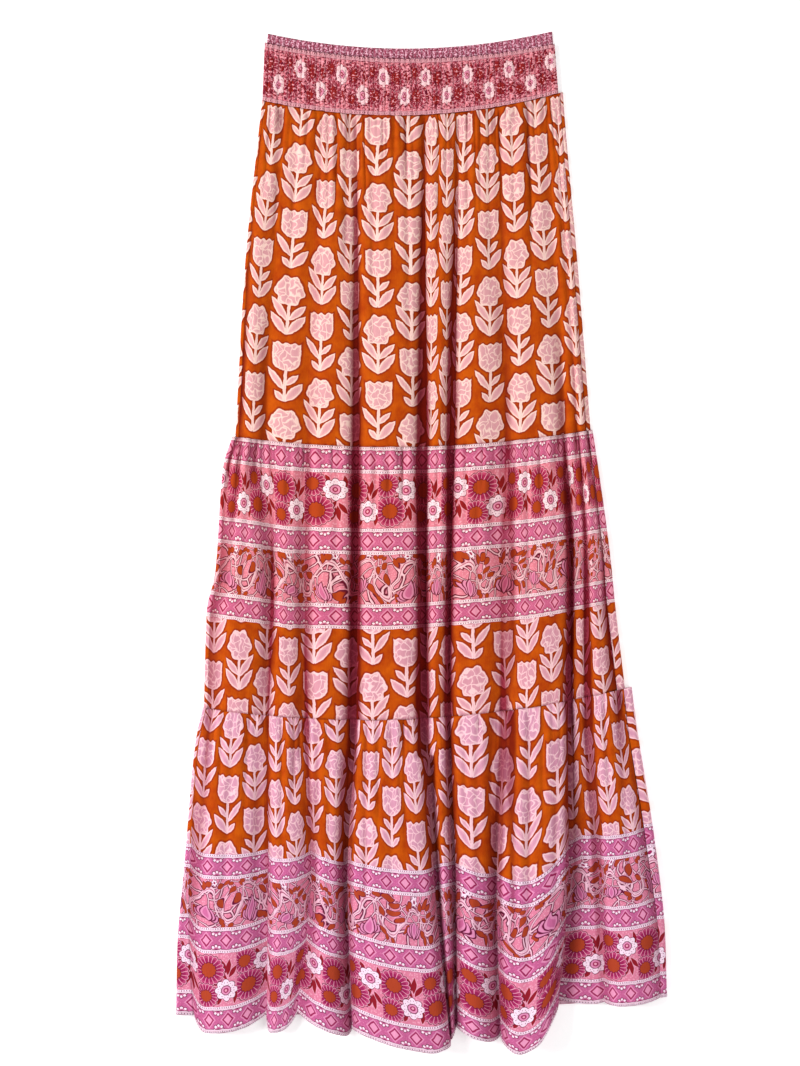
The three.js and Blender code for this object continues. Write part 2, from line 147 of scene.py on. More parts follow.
# Creases, given one by one: place across at the top and at the foot, share down the tier where it
# starts and where it has died away, depth (below 0 it is a ridge) and half width
CREASES = {
    "tier1": (
        (-158, -170, 0, 0.3, 1.2, 3), (-149, -160, 0, 0.55, 1.8, 3.6), (-133, -140, 0, 0.42, 2.4, 2.6),
        (-129, -147, 0, 0.9, 1.6, 4.2), (-121, -128, 0, 0.26, 1.5, 2.2), (-97, -101, 0, 0.5, 2.2, 2.4),
        (-88, -92, 0, 0.36, 2, 2.4), (-78, -84, 0, 0.62, 1.8, 3), (-52, -50, 0, 0.96, 2, 3.2),
        (-41, -38, 0.1, 0.8, -1.2, 5), (-30, -24, 0, 0.44, 1.7, 2.4), (-16, -12, 0, 0.98, 2.4, 3.4),
        (-9, -6, 0, 0.3, 2, 2), (18, 17, 0, 0.6, 2, 2.6), (26, 25, 0, 0.34, 1.6, 2),
        (48, 50, 0, 0.52, 2.2, 2.6), (61, 64, 0, 0.4, 2, 2.4), (70, 76, 0.04, 0.7, 1.3, 3.2),
        (95, 104, 0, 0.46, 2, 2.6), (112, 120, 0, 0.66, 2.2, 3), (122, 133, 0.02, 0.5, -1.4, 4.4),
        (131, 146, 0, 0.4, 1.8, 2.8), (141, 160, 0.05, 0.9, 1.8, 3.4),
    ),
    "tier2": (
        (-189, -214, 0, 0.5, 2.4, 3.2), (-176, -196, 0.02, 0.86, 2.2, 4.6), (-165, -178, 0, 0.4, 1.8, 3),
        (-141, -139, 0, 0.34, 1.9, 2.8), (-128, -130, 0.06, 0.92, 1.4, 4), (-104, -101, 0, 0.46, 2, 3),
        (-88, -90, 0, 0.9, 1.8, 4), (-49, -50, 0, 0.42, 2.2, 3), (-34, -30, 0.08, 1, 1.6, 5),
        (-20, -22, 0, 0.36, 2.4, 2.6), (17, 16, 0, 0.6, 1.8, 2.8), (46, 46, 0, 0.52, 2.4, 3),
        (58, 61, 0.02, 0.96, 1.8, 3.8), (72, 72, 0, 0.5, 1.6, 3), (100, 105, 0, 0.98, -2.2, 4.6),
        (110, 115, 0, 0.9, 2.4, 3.2), (124, 131, 0, 0.42, 2.2, 2.8), (138, 144, 0.04, 0.7, 1.6, 3.4),
        (161, 166, 0, 0.5, 1.6, 3), (172, 192, 0.02, 0.8, 2, 3.6),
    ),
    "tier3": (
        (-221, -246, 0, 0.5, 2, 3.6), (-208, -222, 0, 0.34, 2.6, 3.2), (-196, -214, 0.02, 0.96, 2.4, 5.6),
        (-182, -192, 0, 0.4, 2.4, 3), (-171, -178, 0.06, 0.8, 1.6, 4.6), (-146, -147, 0, 0.62, 2.6, 3.4),
        (-134, -141, 0, 0.36, 2, 2.8), (-108, -110, 0, 0.46, 2.2, 3.2), (-96, -97, 0.04, 0.9, 2.2, 4.2),
        (-84, -87, 0, 0.4, 2, 2.6), (-59, -58, 0, 0.84, 2.4, 3.6), (-46, -42, 0, 0.42, 2.6, 3),
        (-33, -28, 0.04, 1, 2, 6), (-19, -12, 0, 0.5, 2.4, 3.4), (16, 24, 0, 0.6, 1.8, 3),
        (45, 50, 0, 0.5, 2.2, 3), (58, 60, 0.02, 0.96, 2.2, 4.2), (70, 70, 0, 0.44, 1.8, 3),
        (94, 96, 0, 0.96, 2.2, 3.6), (103, 104, 0, 0.9, -2, 4.4), (112, 112, 0, 0.98, 2.8, 3.8),
        (126, 128, 0, 0.4, 2.2, 3), (139, 140, 0.02, 0.9, 1.8, 4), (170, 182, 0, 0.5, 1.8, 3.2),
        (190, 212, 0, 0.46, 2.4, 3.2), (202, 230, 0.02, 0.9, 2.2, 5),
    ),
}

# Small gathers below a gathered seam, worked out from these
GATHER_PITCH = {"tier1": 7.5, "tier2": 8.5, "tier3": 8.0}   # flat cloth from one to the next
GATHER_DEPTH = {"tier1": 2.4, "tier2": 2.2, "tier3": 2.0}
GATHER_LENGTH = {"tier1": 70.0, "tier2": 60.0, "tier3": 52.0}
GATHER_WIDTH = 1.7           # half width of one crease
GATHER_RISE = 6.0            # how far below the seam they are deepest
PUFF = 2.2                   # how far the cloth swells below a gathered seam
PUFF_LENGTH = 60.0
PUCKER_DEPTH = 0.7           # small pulls above a seam
PUCKER_LENGTH = 14.0
PUCKER_PITCH = 11
PUCKER_WIDTH = 2.2

# Low folds of the back panels, under the tall flutes: place, width and height at the levels
BACK_FOLDS = (
    ((-150, -175, -190, -200, -205, -207), 26, (0, 0.8, 2.0, 2.0, 4.0, 5.0)),
    ((-40, -34, -36, -36, -36, -30), 34, (0, 1.0, 3.5, 3.5, 6.0, 7.0)),
    ((60, 57, 54, 55, 56, 60), 22, (0, 0.8, 2.0, 2.0, 3.0, 4.0)),
    ((110, 118, 118, 118, 118, 116), 28, (0, 1.0, 3.5, 3.5, 6.0, 7.0)),
)

# The print. Bands of a tier from its top edge down: pattern, flat length
BANDS = {
    "tier1": (("field", 352.0),),
    "tier2": (("stripe", 28.0), ("zinnia", 56.0), ("stripe", 27.5), ("vine", 51.0), ("stripe", 26.5),
              ("field", 95.0)),
    "tier3": (("field", 152.0), ("stripe", 26.5), ("vine", 51.0), ("stripe", 27.5), ("zinnia", 56.0),
              ("stripe", 28.0)),
}
BAND_HEIGHT = {"stripe": 28.0, "zinnia": 56.0, "vine": 51.0}
FIELD_FOOT = {"tier1": 0.0, "tier2": -95.0, "tier3": 0.0}   # print height at the field's lower edge
PRINT_START = {"tier1": -22.0, "tier2": -8.0, "tier3": -12.0}  # print place at the left side seam
COLUMN_PITCH = {"tier1": 40.0, "tier2": 39.0, "tier3": 34.0}
FLOWER_WIDTH = 33.2          # width of one flower's cell in its own drawing
BORDER_SHARE = 0.84          # how much narrower the border's repeat is drawn than it lies on the cloth
ROW_PITCH = 70.0
STRIPE_TILE = 20.0           # repeats of the border's bands, as drawn
ZINNIA_TILE = 40.0
VINE_TILE = 44.0
VINE_SWAY = 14.67            # a third of the vine's repeat: one small wave of its stems
FLOWER_FEET = {"tier1": (5.0, 40.0), "tier2": (31.0, -4.0), "tier3": (55.0, 20.0)}  # even and odd columns
PETALS = {                   # outline, petal and its shade
    "tier1": ((250, 210, 198), (230, 172, 170), (214, 146, 156)),
    "tier2": ((248, 202, 204), (226, 164, 172), (206, 136, 156)),
    "tier3": ((246, 200, 208), (224, 164, 182), (202, 134, 164)),
}
COOL = {"tier2": 0.0, "tier3": 1.0}        # how far the border's colours lean to mauve

# Waistband
BAND_RIDGE = 1.9             # height of a shirring ridge
BAND_RIDGES = 58
RIDGE_COLUMNS = 7
BAND_DEPTH = {"back": 70.0, "front": 59.0}
BAND_LIFT = 4.2              # height of the front band's middle over the surface at its ends
BAND_ARCH = 1.5
BAND_EDGING = 4.4            # depth of the double line along the top and the bottom
BAND_ELASTIC_PITCH = 8.4     # from one row of elastic thread to the next
BAND_FLAT = 490.0            # flat width of each half before it is gathered on to its elastic

# Wrong side, and the painted shade low in a fold and the painted shadow right of a tall one
WRONG_SIDE = (206, 140, 158)
WRONG_FADE = 0.4
DYE_STREAK = 0.22
# colour factor of the painted shade and shadow: the cloth is darkened and reddened by it
PAINTED_SHADE_TINT = (0.32, 0.06, 0.10)
PAINTED_SHADE_SHARE = {"tier1": (0.9, 1.0), "tier2": (1.0, 1.0), "tier3": (1.0, 0.35)}  # strength of the painted shade at a tier's top and foot
FOLD_REACH = 8.0             # cloth this near, on either side, makes a fold that gets painted shade
FOLD_FROM = 2.0              # height of that cloth over the fold where the painted shade starts
FOLD_RANGE = 3.5             # and how much more height makes it full
LEE_REACH = 11.0             # half of how far to the left a tall fold still casts its painted shadow on the cloth
# the same for the painted shadow: height where it starts, height to full, and its strength
LEE_FROM = 9.0
LEE_RANGE = 8.0
LEE_SHARE = 0.75
HEM_STITCH = 2.0             # height of the stitch row over the hem's edge
STITCH_LENGTH = 2.0
STITCH_GAP = 1.3
STITCH_RADIUS = 0.36

# Camera, in the photograph's frame, and light
CAMERA_HEIGHT = 3600.0
FRAME_HEIGHT = 1066 * 1.05
FRAME_CENTRE = (-22.6, 8.4)
WORLD_LIGHT = 0.40
KEY_LIGHT = 98.0
FILL_LIGHT = 26.0
FLOOR_GLOW = 0.4             # the photograph's ground is pure white

# Mesh density
COLUMNS = {"tier1": 350, "tier2": 390, "tier3": 420}
ROW_STEP = 3.3
ROW_STEP_SEAM = 1.7          # row step just under a gathered seam
SEAM_ZONE = 26.0
FINE = 260                   # samples across a flute before it is cut into columns
TURN_STEPS = 12              # columns round a back panel's turn at the side
SEAM_STEPS = 6               # columns from there to the side seam
BACK_COLUMNS = 380
BACK_RIPPLES = 42            # small gathers across a back panel, which lie low under the front
BACK_RIPPLE = 2.2

# Each tier's place in the tables, its lines, its first and last level, and its pieces' name and slot
TIERS = {
    "tier1": dict(order=0, top="waist", bottom="seam1", levels=(0, 1), name="upper", slot="flower_cloth"),
    "tier2": dict(order=1, top="seam1", bottom="seam2", levels=(1, 3), name="middle", slot="border_cloth"),
    "tier3": dict(order=2, top="seam2", bottom="backHem", levels=(3, 5), name="lower", slot="hem_cloth"),
}


# Small helpers

def line_at(name, x):
    left, middle, right, start, end = LINES[name]
    u = (x - start) / (end - start)
    return left * (1 - u) * (1 - 2 * u) + middle * 4 * u * (1 - u) + right * u * (2 * u - 1)


def smooth(xs, ys, x):
    """A monotone curve through the points (xs, ys), read at x."""
    xs, ys = np.asarray(xs, float), np.asarray(ys, float)
    step = np.diff(xs)
    slope = np.diff(ys) / step
    tangent = np.zeros_like(ys)
    tangent[0], tangent[-1] = slope[0], slope[-1]
    for i in range(1, len(xs) - 1):
        if slope[i - 1] * slope[i] > 0:
            tangent[i] = 2 * slope[i - 1] * slope[i] / (slope[i - 1] + slope[i])
    i = np.clip(np.searchsorted(xs, x, side="right") - 1, 0, len(xs) - 2)
    h = step[i]
    t = (x - xs[i]) / h
    return (ys[i] * (1 + 2 * t) * (1 - t) ** 2 + tangent[i] * h * t * (1 - t) ** 2
            + ys[i + 1] * t * t * (3 - 2 * t) + tangent[i + 1] * h * t * t * (t - 1))


def at_level(values, level):
    return smooth(range(6), values, level)


def at_edge(tier, column, share):
    rows = np.array(EDGES[tier], float)
    return smooth(rows[:, 0], rows[:, column], share)


def smoothstep(x, low, high):
    t = np.clip((x - low) / (high - low), 0, 1)
    return t * t * (3 - 2 * t)


def levels_of(tier, share):
    first, last = TIERS[tier]["levels"]
    return first + (last - first) * share


def tier_length(tier):
    return sum(length for _, length in BANDS[tier])


def flat_widths(tier):
    """Flat cloth in each flute of the tier."""
    return [flute["flat"][TIERS[tier]["order"]] for flute in FLUTES]


def row_place(tier, x, share):
    """Place up the skirt at x, a share of the way from the tier's top line to its bottom line."""
    top = line_at(TIERS[tier]["top"], x)
    return top + (line_at(TIERS[tier]["bottom"], x) - top) * share


# Shape of the front panels

def trough_at(tier, number, share):
    """Everything about the trough left of flute `number`, with a row for each share down the tier."""
    level = levels_of(tier, share)
    if 0 < number < len(FLUTES):
        row = TROUGHS[number - 1]
        found = {key: at_level(row[key], level)[:, None] for key in row if key != "hem"}
        return dict(found, hem=row["hem"])
    side, edge, wrap, way = ("left", 1, 3, 1) if number == 0 else ("right", 2, 4, -1)
    x = at_edge(tier, edge, share) + way * (at_edge(tier, wrap, share) + SEAM_GAP)
    return dict(x=x[:, None], z=at_level(SEAM_LEVEL[side], level)[:, None], before=10, after=10,
                roll=0, soft=1.5, floor=0, hem=EDGE_HEM[side])


def flank_power(width, reach):
    """The power that makes a flank fall away over about `width` of a half flute `reach` wide."""
    ratio = np.clip(width / reach, 0.02, 0.6)
    return np.maximum(2.0, -1.05 / np.log(1 - ratio))


def gathers_of(tier):
    """Seeded creases under the tier's gathered seam: flute, place across it, depth, length, half
    width and drift."""
    random = np.random.default_rng(SEED + TIERS[tier]["order"])
    found = []
    for number, flat in enumerate(flat_widths(tier)):
        count = max(2, round(flat / GATHER_PITCH[tier]))
        for place in (np.arange(count) + 0.5 + random.uniform(-0.36, 0.36, count)) / count:
            found.append(dict(
                flute=number, place=place, depth=GATHER_DEPTH[tier] * random.uniform(0.35, 1.25),
                length=GATHER_LENGTH[tier] * random.choice((0.5, 0.8, 1.2, 2.2), p=(0.3, 0.34, 0.24, 0.12)),
                width=GATHER_WIDTH * random.uniform(0.7, 1.35), drift=random.uniform(-0.03, 0.03)))
    return found


def puckers_of(tier):
    """Seeded pulls above the seam at the tier's foot, described in the same way."""
    random = np.random.default_rng(SEED + 10 + TIERS[tier]["order"])
    found = []
    for number, flat in enumerate(flat_widths(tier)):
        count = max(2, round(flat / PUCKER_PITCH))
        for place in (np.arange(count) + 0.5 + random.uniform(-0.4, 0.4, count)) / count:
            found.append(dict(flute=number, place=place, depth=PUCKER_DEPTH * random.uniform(0.2, 1),
                              length=PUCKER_LENGTH * random.uniform(0.6, 1.6), width=PUCKER_WIDTH))
    return found


def crinkle(tier, across, down):
    """A low uneven wave of the cloth, in its flat coordinates."""
    random = np.random.default_rng(SEED + 20 + TIERS[tier]["order"])
    height = np.zeros(np.broadcast(across, down).shape)
    for _ in range(16):
        wave = random.uniform(16, 60)
        tilt = random.normal(0, 0.35)
        turn = random.uniform(0, 2 * math.pi)
        size = 0.0042 * wave
        height += size * np.sin(2 * math.pi / wave * (across * math.cos(tilt) + down * math.sin(tilt) * 0.5)
                                + turn)
    return height * 0.6


def flute_section(tier, number, share, down, gathers, puckers):
    """x, y and z of one flute, finely sampled: an array with a row for each share."""
    flute = FLUTES[number]
    left, right = trough_at(tier, number, share), trough_at(tier, number + 1, share)
    u = np.linspace(0, 1, FINE)[None, :]
    width = right["x"] - left["x"]
    x = left["x"] + width * u

    lean = flute["lean"]
    reach_left = lean * width - np.where(left["roll"] < 0, left["floor"], 0)
    reach_right = (1 - lean) * width - np.where(right["roll"] >= 0, right["floor"], 0)
    power = np.where(u < lean, flank_power(left["after"], reach_left),
                     flank_power(right["before"], reach_right))
    away = np.where(u < lean, (lean - u) * width / reach_left, (u - lean) * width / reach_right)
    crown = 1 - np.clip(away, 0, 1) ** power
    base = left["z"] + (right["z"] - left["z"]) * u
    crest = at_level(flute["crest"], levels_of(tier, share))[:, None]
    rise = crest - (left["z"] + (right["z"] - left["z"]) * lean)
    soft = left["soft"] + (right["soft"] - left["soft"]) * smoothstep(u, 0.15, 0.85)
    lift = np.sqrt((rise * crown) ** 2 + soft ** 2) - soft
    # the crown of a flute is never flat: it slopes a little from its crest to both shoulders
    shoulder = 1 - 0.22 * np.clip(away, 0, 1) ** 1.6
    z = base + lift * shoulder

    near_left = np.clip(1 - u / lean, 0, 1) ** 0.5
    near_right = np.clip(1 - (1 - u) / (1 - lean), 0, 1) ** 0.5
    bulge = np.sin(math.pi * np.clip(crown, 0, 1) ** 0.8)
    shift = (-np.maximum(left["roll"], 0) * near_left + np.maximum(-right["roll"], 0) * near_right) * bulge

    below = down[:, None]
    above = tier_length(tier) - below
    swell = smoothstep(below, 0, 12) * (1 - smoothstep(below, 10, PUFF_LENGTH))
    z = z + PUFF * swell * (0.45 + 0.55 * crown)
    for row in gathers:
        if row["flute"] != number:
            continue
        fade = (0.35 + 0.65 * smoothstep(below, 0, GATHER_RISE)) * (
            1 - smoothstep(below, 0.25 * row["length"], row["length"]))
        place = row["place"] + row["drift"] * below / 100
        apart = (u - place) * width / row["width"]
        z = z - row["depth"] * fade / (1 + apart ** 2) ** 1.5
    for row in puckers:
        if row["flute"] == number:
            fade = 1 - smoothstep(above, 0, row["length"])
            z = z - row["depth"] * fade * np.exp(-((u - row["place"]) * width / row["width"]) ** 2)
    s = share[:, None]
    for x_top, x_foot, start, end, depth, half in CREASES[tier]:
        kept = 1 - smoothstep(s, start + 0.45 * (end - start), end)
        fade = smoothstep(s, start - 0.05, start + 0.04) * kept
        apart = (x - (x_top + (x_foot - x_top) * s)) / half
        z = z - depth * fade * crown ** 0.5 / (1 + 0.6 * apart ** 2) ** 2
    flat = flat_widths(tier)[number]
    z = z + crinkle(tier, u * flat + number * 57.0, below) * crown ** 0.5
    z = z - SEAM_DIP * (np.exp(-(below / 2.2) ** 2) + np.exp(-(above / 2.2) ** 2) * (tier != "tier3"))
    z = np.maximum(z, LOWEST_FRONT)

    top = line_at(TIERS[tier]["top"], x)
    if tier == "tier3":
        hem_lean = flute["hem_lean"]
        hem_away = np.where(u < hem_lean, (hem_lean - u) / hem_lean, (u - hem_lean) / (1 - hem_lean))
        drop = flute["hem"] - (left["hem"] + (right["hem"] - left["hem"]) * hem_lean)
        bottom = left["hem"] + (right["hem"] - left["hem"]) * u + drop * (1 - hem_away ** HEM_ROUND)
    else:
        bottom = line_at(TIERS[tier]["bottom"], x)
    lower = np.interp(number + u, np.arange(len(FLUTES)) + 0.5, PRINT_DROP[tier])
    y = top + (bottom - top) * (s + lower * 4 * s * (1 - s))
    return x + shift, y, z


def rows_of(tier, coarse=1.0):
    """Distances down the tier for the rows, with a row on each edge between two bands."""
    downs = [0.0]
    end = 0.0
    for _, length in BANDS[tier]:
        here, end = end, end + length
        while here < end - 1e-6:
            step = (ROW_STEP_SEAM if here < SEAM_ZONE else ROW_STEP) * coarse
            count = max(1, round((end - here) / step))
            here = end if count == 1 else here + (end - here) / count
            downs.append(here)
    return np.array(downs)


def front_grid(tier):
    """Middle points of a front panel, rows down and columns across, and each column's flat place."""
    down = rows_of(tier)
    share = down / tier_length(tier)
    gathers, puckers = gathers_of(tier), puckers_of(tier)
    flats = np.array(flat_widths(tier), float)
    edges = np.round(np.concatenate(([0], np.cumsum(flats))) / flats.sum() * COLUMNS[tier]).astype(int)
    points = np.zeros((len(down), COLUMNS[tier] + 1, 3))
    place = np.zeros(COLUMNS[tier] + 1)
    for number in range(len(FLUTES)):
        section = np.stack(flute_section(tier, number, share, down, gathers, puckers), axis=-1)
        first, last = edges[number], edges[number + 1]
        even = np.linspace(0, 1, last - first + 1)
        place[first:last + 1] = flats[:number].sum() + flats[number] * even
        for r in range(len(down)):
            run = np.hypot(np.diff(section[r, :, 0]), np.diff(section[r, :, 2]))
            along = np.concatenate(([0], np.cumsum(run)))
            for axis in range(3):
                points[r, first:last + 1, axis] = np.interp(even * along[-1], along, section[r, :, axis])
    return points, place + PRINT_START[tier], down


# Shape of the back panels

def room_under(points):
    """A function of places across and up, in arrays: how low the fronts' middle lies near there."""
    corner = np.floor(points[:, :2].min(axis=0) / ROOM_CELL).astype(int)
    cells = np.floor(points[:, :2] / ROOM_CELL).astype(int) - corner
    room = np.full(cells.max(axis=0) + 1, np.inf)
    np.minimum.at(room, tuple(cells.T), points[:, 2])
    wide = np.pad(room, 1, constant_values=np.inf)
    across, up = room.shape
    near = np.min([wide[i:i + across, j:j + up] for i in range(3) for j in range(3)], axis=0)

    def lowest(x, y):
        cell = np.floor(np.stack((x, y), axis=-1) / ROOM_CELL).astype(int) - corner
        cell = np.clip(cell, 0, np.array(room.shape) - 1)
        return near[cell[..., 0], cell[..., 1]]
    return lowest


def side_turn(height, wrap, ground):
    """How a back panel turns up at a side: the turn's radius, and the places inward and the heights
    from the surface to the side seam."""
    radius = (height - ground) / 2
    angle = np.linspace(0, math.pi, TURN_STEPS + 1)[1:]
    inward = radius * (1 - np.sin(angle))
    z = ground + radius * (1 - np.cos(angle))
    rest = np.linspace(0, 1, SEAM_STEPS + 1)[1:]
    inward = np.concatenate((inward, inward[-1] + (wrap - inward[-1]) * rest))
    return radius, inward, np.concatenate((z, np.full(SEAM_STEPS, height)))


def back_grid(tier, lowest_front):
    """Middle points of a back panel, from the right side seam round under the skirt to the left one."""
    down = rows_of(tier, coarse=2.0)
    walls = hem_thickness(tier, down)[:, 0]
    share = down / tier_length(tier)
    level = levels_of(tier, share)
    left, right = at_edge(tier, 1, share), at_edge(tier, 2, share)
    way = np.linspace(0, 1, BACK_COLUMNS)
    ends = smoothstep(way, 0, 0.01) * (1 - smoothstep(way, 0.99, 1))
    rows = []
    for r, s in enumerate(share):
        ground = max(BACK_LEVEL, walls[r] / 2)
        turns = [side_turn(at_level(SEAM_LEVEL[side], level[r]), at_edge(tier, column, s), ground)
                 for side, column in (("left", 3), ("right", 4))]
        (left_radius, left_inward, left_z), (right_radius, right_inward, right_z) = turns
        x = np.linspace(left[r] + left_radius, right[r] - right_radius, BACK_COLUMNS)
        ripple = 0.5 - 0.5 * np.cos(2 * math.pi * (BACK_RIPPLES * way + 0.5 * np.sin(way * 31 + s)))
        z = ground + BACK_RIPPLE * ripple * ends * (0.75 + 0.25 * np.sin(way * 57 + 3 * s))
        for fold_x, width, height in BACK_FOLDS:
            away = np.clip((x - at_level(fold_x, level[r])) / width, -0.5, 0.5)
            z += at_level(height, level[r]) * np.cos(math.pi * away) ** 2
        room = lowest_front(x, row_place(tier, x, s)) - walls[r] - LAYER_GAP
        z = np.clip(z, ground, np.maximum(room, ground))
        x = np.concatenate(((left[r] + left_inward)[::-1], x, right[r] - right_inward))
        z = np.concatenate((left_z[::-1], z, right_z))
        rows.append(np.stack((x, row_place(tier, x, s), z), axis=-1))
    points = np.array(rows)
    seen = points[int(len(points) * 0.85)]
    run = np.concatenate(([0], np.cumsum(np.hypot(np.diff(seen[:, 0]), np.diff(seen[:, 2])))))
    place = PRINT_START[tier] - run / run[-1] * sum(flat_widths(tier))
    return points[:, ::-1], place[::-1], down


def bands_between(tier, down):
    """For each stretch between two rows: the band, and the print height at its upper and lower row."""
    found = []
    ends = np.cumsum([length for _, length in BANDS[tier]])
    for upper, lower in zip(down[:-1], down[1:]):
        number = int(np.searchsorted(ends, (upper + lower) / 2))
        pattern, length = BANDS[tier][number]
        foot = ends[number]
        if pattern == "field":
            scale, start = 1.0, FIELD_FOOT[tier]
        else:
            scale, start = BAND_HEIGHT[pattern] / length, 0.0
        found.append((pattern, start + (foot - upper) * scale, start + (foot - lower) * scale))
    return found


# Meshes

def normals_of(points):
    across = np.gradient(points, axis=1)
    down = np.gradient(points, axis=0)
    normal = np.cross(down, across)
    return normal / np.maximum(np.linalg.norm(normal, axis=2, keepdims=True), 1e-9)


def shell(name, points, thickness, place, bands, right_side, wrong_side, painted_shade=None):
    """A closed shell round a grid of middle points, in millimetres. bands gives the pattern and
    the print heights of each stretch between rows; right_side and wrong_side name the material of
    each pattern on the two faces."""
    rows, columns = points.shape[:2]
    normal = normals_of(points)
    half = (np.broadcast_to(thickness, (rows, columns)) / 2)[..., None]
    outer, inner = points + normal * half, points - normal * half
    vertices = np.concatenate((outer.reshape(-1, 3), inner.reshape(-1, 3))) * MM

    patterns = sorted({pattern for pattern, _, _ in bands})
    materials = [right_side[p] for p in patterns] + [wrong_side[p] for p in patterns]
    up = np.arange(rows * columns).reshape(rows, columns)
    low = up + rows * columns
    r, c = np.meshgrid(np.arange(rows - 1), np.arange(columns - 1), indexing="ij")
    r, c = r.ravel(), c.ravel()
    slot = np.array([patterns.index(pattern) for pattern, _, _ in bands])
    v_up = np.array([v for _, v, _ in bands])
    v_low = np.array([v for _, _, v in bands])
    strip = 0.10            # share of the bake's map that the wrong side and the edges get
    u_bake = np.linspace(0.002, 0.998, columns)
    v_bake = np.linspace(0.998, strip + 0.004, rows)
    w_bake = np.linspace(0.002, strip - 0.012, rows)
    faces, prints, bakes, slots = [], [], [], []

    def add(corners, print_uv, bake_uv, slot_of):
        faces.append(np.stack(corners, axis=-1))
        prints.append(np.stack([np.stack(uv, axis=-1) for uv in print_uv], axis=1))
        bakes.append(np.stack([np.stack(uv, axis=-1) for uv in bake_uv], axis=1))
        slots.append(slot_of)

    square = ((0, 0), (1, 0), (1, 1), (0, 1))
    for side, v_of, corners, first in ((up, v_bake, square, 0),
                                       (low, w_bake, square[:1] + square[:0:-1], len(patterns))):
        add([side[r + i, c + j] for i, j in corners],
            [(place[c + j], (v_up, v_low)[i][r]) for i, j in corners],
            [(u_bake[c + j], v_of[r + i]) for i, j in corners], slot[r] + first)
    k = np.arange(columns - 1)
    for row, flip, lane in ((0, False, strip - 0.009), (rows - 1, True, strip - 0.006)):
        v = np.full(columns - 1, v_up[0] if row == 0 else v_low[-1])
        a, b = (k + 1, k) if flip else (k, k + 1)
        e0, e1 = np.full(columns - 1, lane), np.full(columns - 1, lane + 0.002)
        add((up[row, a], up[row, b], low[row, b], low[row, a]),
            ((place[a], v), (place[b], v), (place[b], v), (place[a], v)),
            ((u_bake[a], e0), (u_bake[b], e0), (u_bake[b], e1), (u_bake[a], e1)),
            np.full(columns - 1, slot[0] if row == 0 else slot[-1]))
    k = np.arange(rows - 1)
    for column, flip, lane in ((0, True, strip - 0.003), (columns - 1, False, strip)):
        a, b = (k + 1, k) if flip else (k, k + 1)
        va, vb = (v_low, v_up) if flip else (v_up, v_low)
        u = np.full(rows - 1, place[column])
        s0, s1 = a / rows * 0.99 + 0.002, b / rows * 0.99 + 0.002
        e0, e1 = np.full(rows - 1, lane), np.full(rows - 1, lane + 0.002)
        add((up[a, column], up[b, column], low[b, column], low[a, column]),
            ((u, va), (u, vb), (u, vb), (u, va)),
            ((s0, e0), (s1, e0), (s1, e1), (s0, e1)), slot)

    # the painted shade of each point, on both faces, for the material to darken its colour with
    data = {"painted_shade": np.concatenate((painted_shade.ravel(), painted_shade.ravel()))} if painted_shade is not None else {}
    return mesh_object(name, vertices, np.concatenate(faces), np.concatenate(slots), materials,
                       {"Print": np.concatenate(prints), "OFBake": np.concatenate(bakes)}, data)


def mesh_object(name, vertices, faces, slots, materials, maps, data):
    mesh = bpy.data.meshes.new(name)
    mesh.vertices.add(len(vertices))
    mesh.vertices.foreach_set("co", vertices.astype(np.float32).ravel())
    mesh.loops.add(faces.size)
    mesh.loops.foreach_set("vertex_index", faces.astype(np.int32).ravel())
    mesh.polygons.add(len(faces))
    mesh.polygons.foreach_set("loop_start", np.arange(0, faces.size, faces.shape[1], dtype=np.int32))
    mesh.polygons.foreach_set("loop_total", np.full(len(faces), faces.shape[1], dtype=np.int32))
    for material in materials:
        mesh.materials.append(material)
    mesh.polygons.foreach_set("material_index", np.asarray(slots, dtype=np.int32))
    mesh.polygons.foreach_set("use_smooth", np.ones(len(faces), dtype=bool))
    for key, values in maps.items():
        layer = mesh.uv_layers.new(name=key)
        layer.data.foreach_set("uv", values.astype(np.float32).reshape(-1))
    for key, values in data.items():
        mesh.attributes.new(key, "FLOAT", "POINT").data.foreach_set("value", values.astype(np.float32))
    mesh.update()
    mesh.validate()
    piece = bpy.data.objects.new(name, mesh)
    bpy.context.collection.objects.link(piece)
    return piece


def painted_shade_of(points):
    """Painted shade for each point, 0 to 1, from the heights of the cloth beside it: shade low in a fold,
    and a painted shadow just right of a tall one, the side away from the key light."""
    z, x = points[..., 2], points[..., 0]
    painted_shade = np.zeros_like(z)
    for r in range(z.shape[0]):
        away = x[r][:, None] - x[r][None, :]
        beside = np.where(np.abs(away) < FOLD_REACH, z[r][None, :], -1e9).max(axis=1)
        before = np.where(np.abs(away - LEE_REACH) < LEE_REACH, z[r][None, :], -1e9).max(axis=1)
        # painted shade where the cloth beside rises over the point, painted shadow where a tall fold stands
        # to its left
        fold = np.clip((beside - z[r] - FOLD_FROM) / FOLD_RANGE, 0, 1)
        lee = np.clip((before - z[r] - LEE_FROM) / LEE_RANGE, 0, 1) * LEE_SHARE
        painted_shade[r] = np.maximum(fold, lee)
    return painted_shade


# Waistband

def band_rows(side, down, across):
    """x and y over a half of the band, at distances down it and shares across it."""
    share = down[:, None] / BAND_DEPTH[side]
    left_top, left_bottom, right_top, right_bottom = BAND_EDGES[side]
    left = left_top + (left_bottom - left_top) * share
    right = right_top + (right_bottom - right_top) * share
    x = left + (right - left) * across
    top, bottom = line_at(f"band{side.title()}Top", x), line_at("waist", x)
    return x, top + (bottom - top) * share


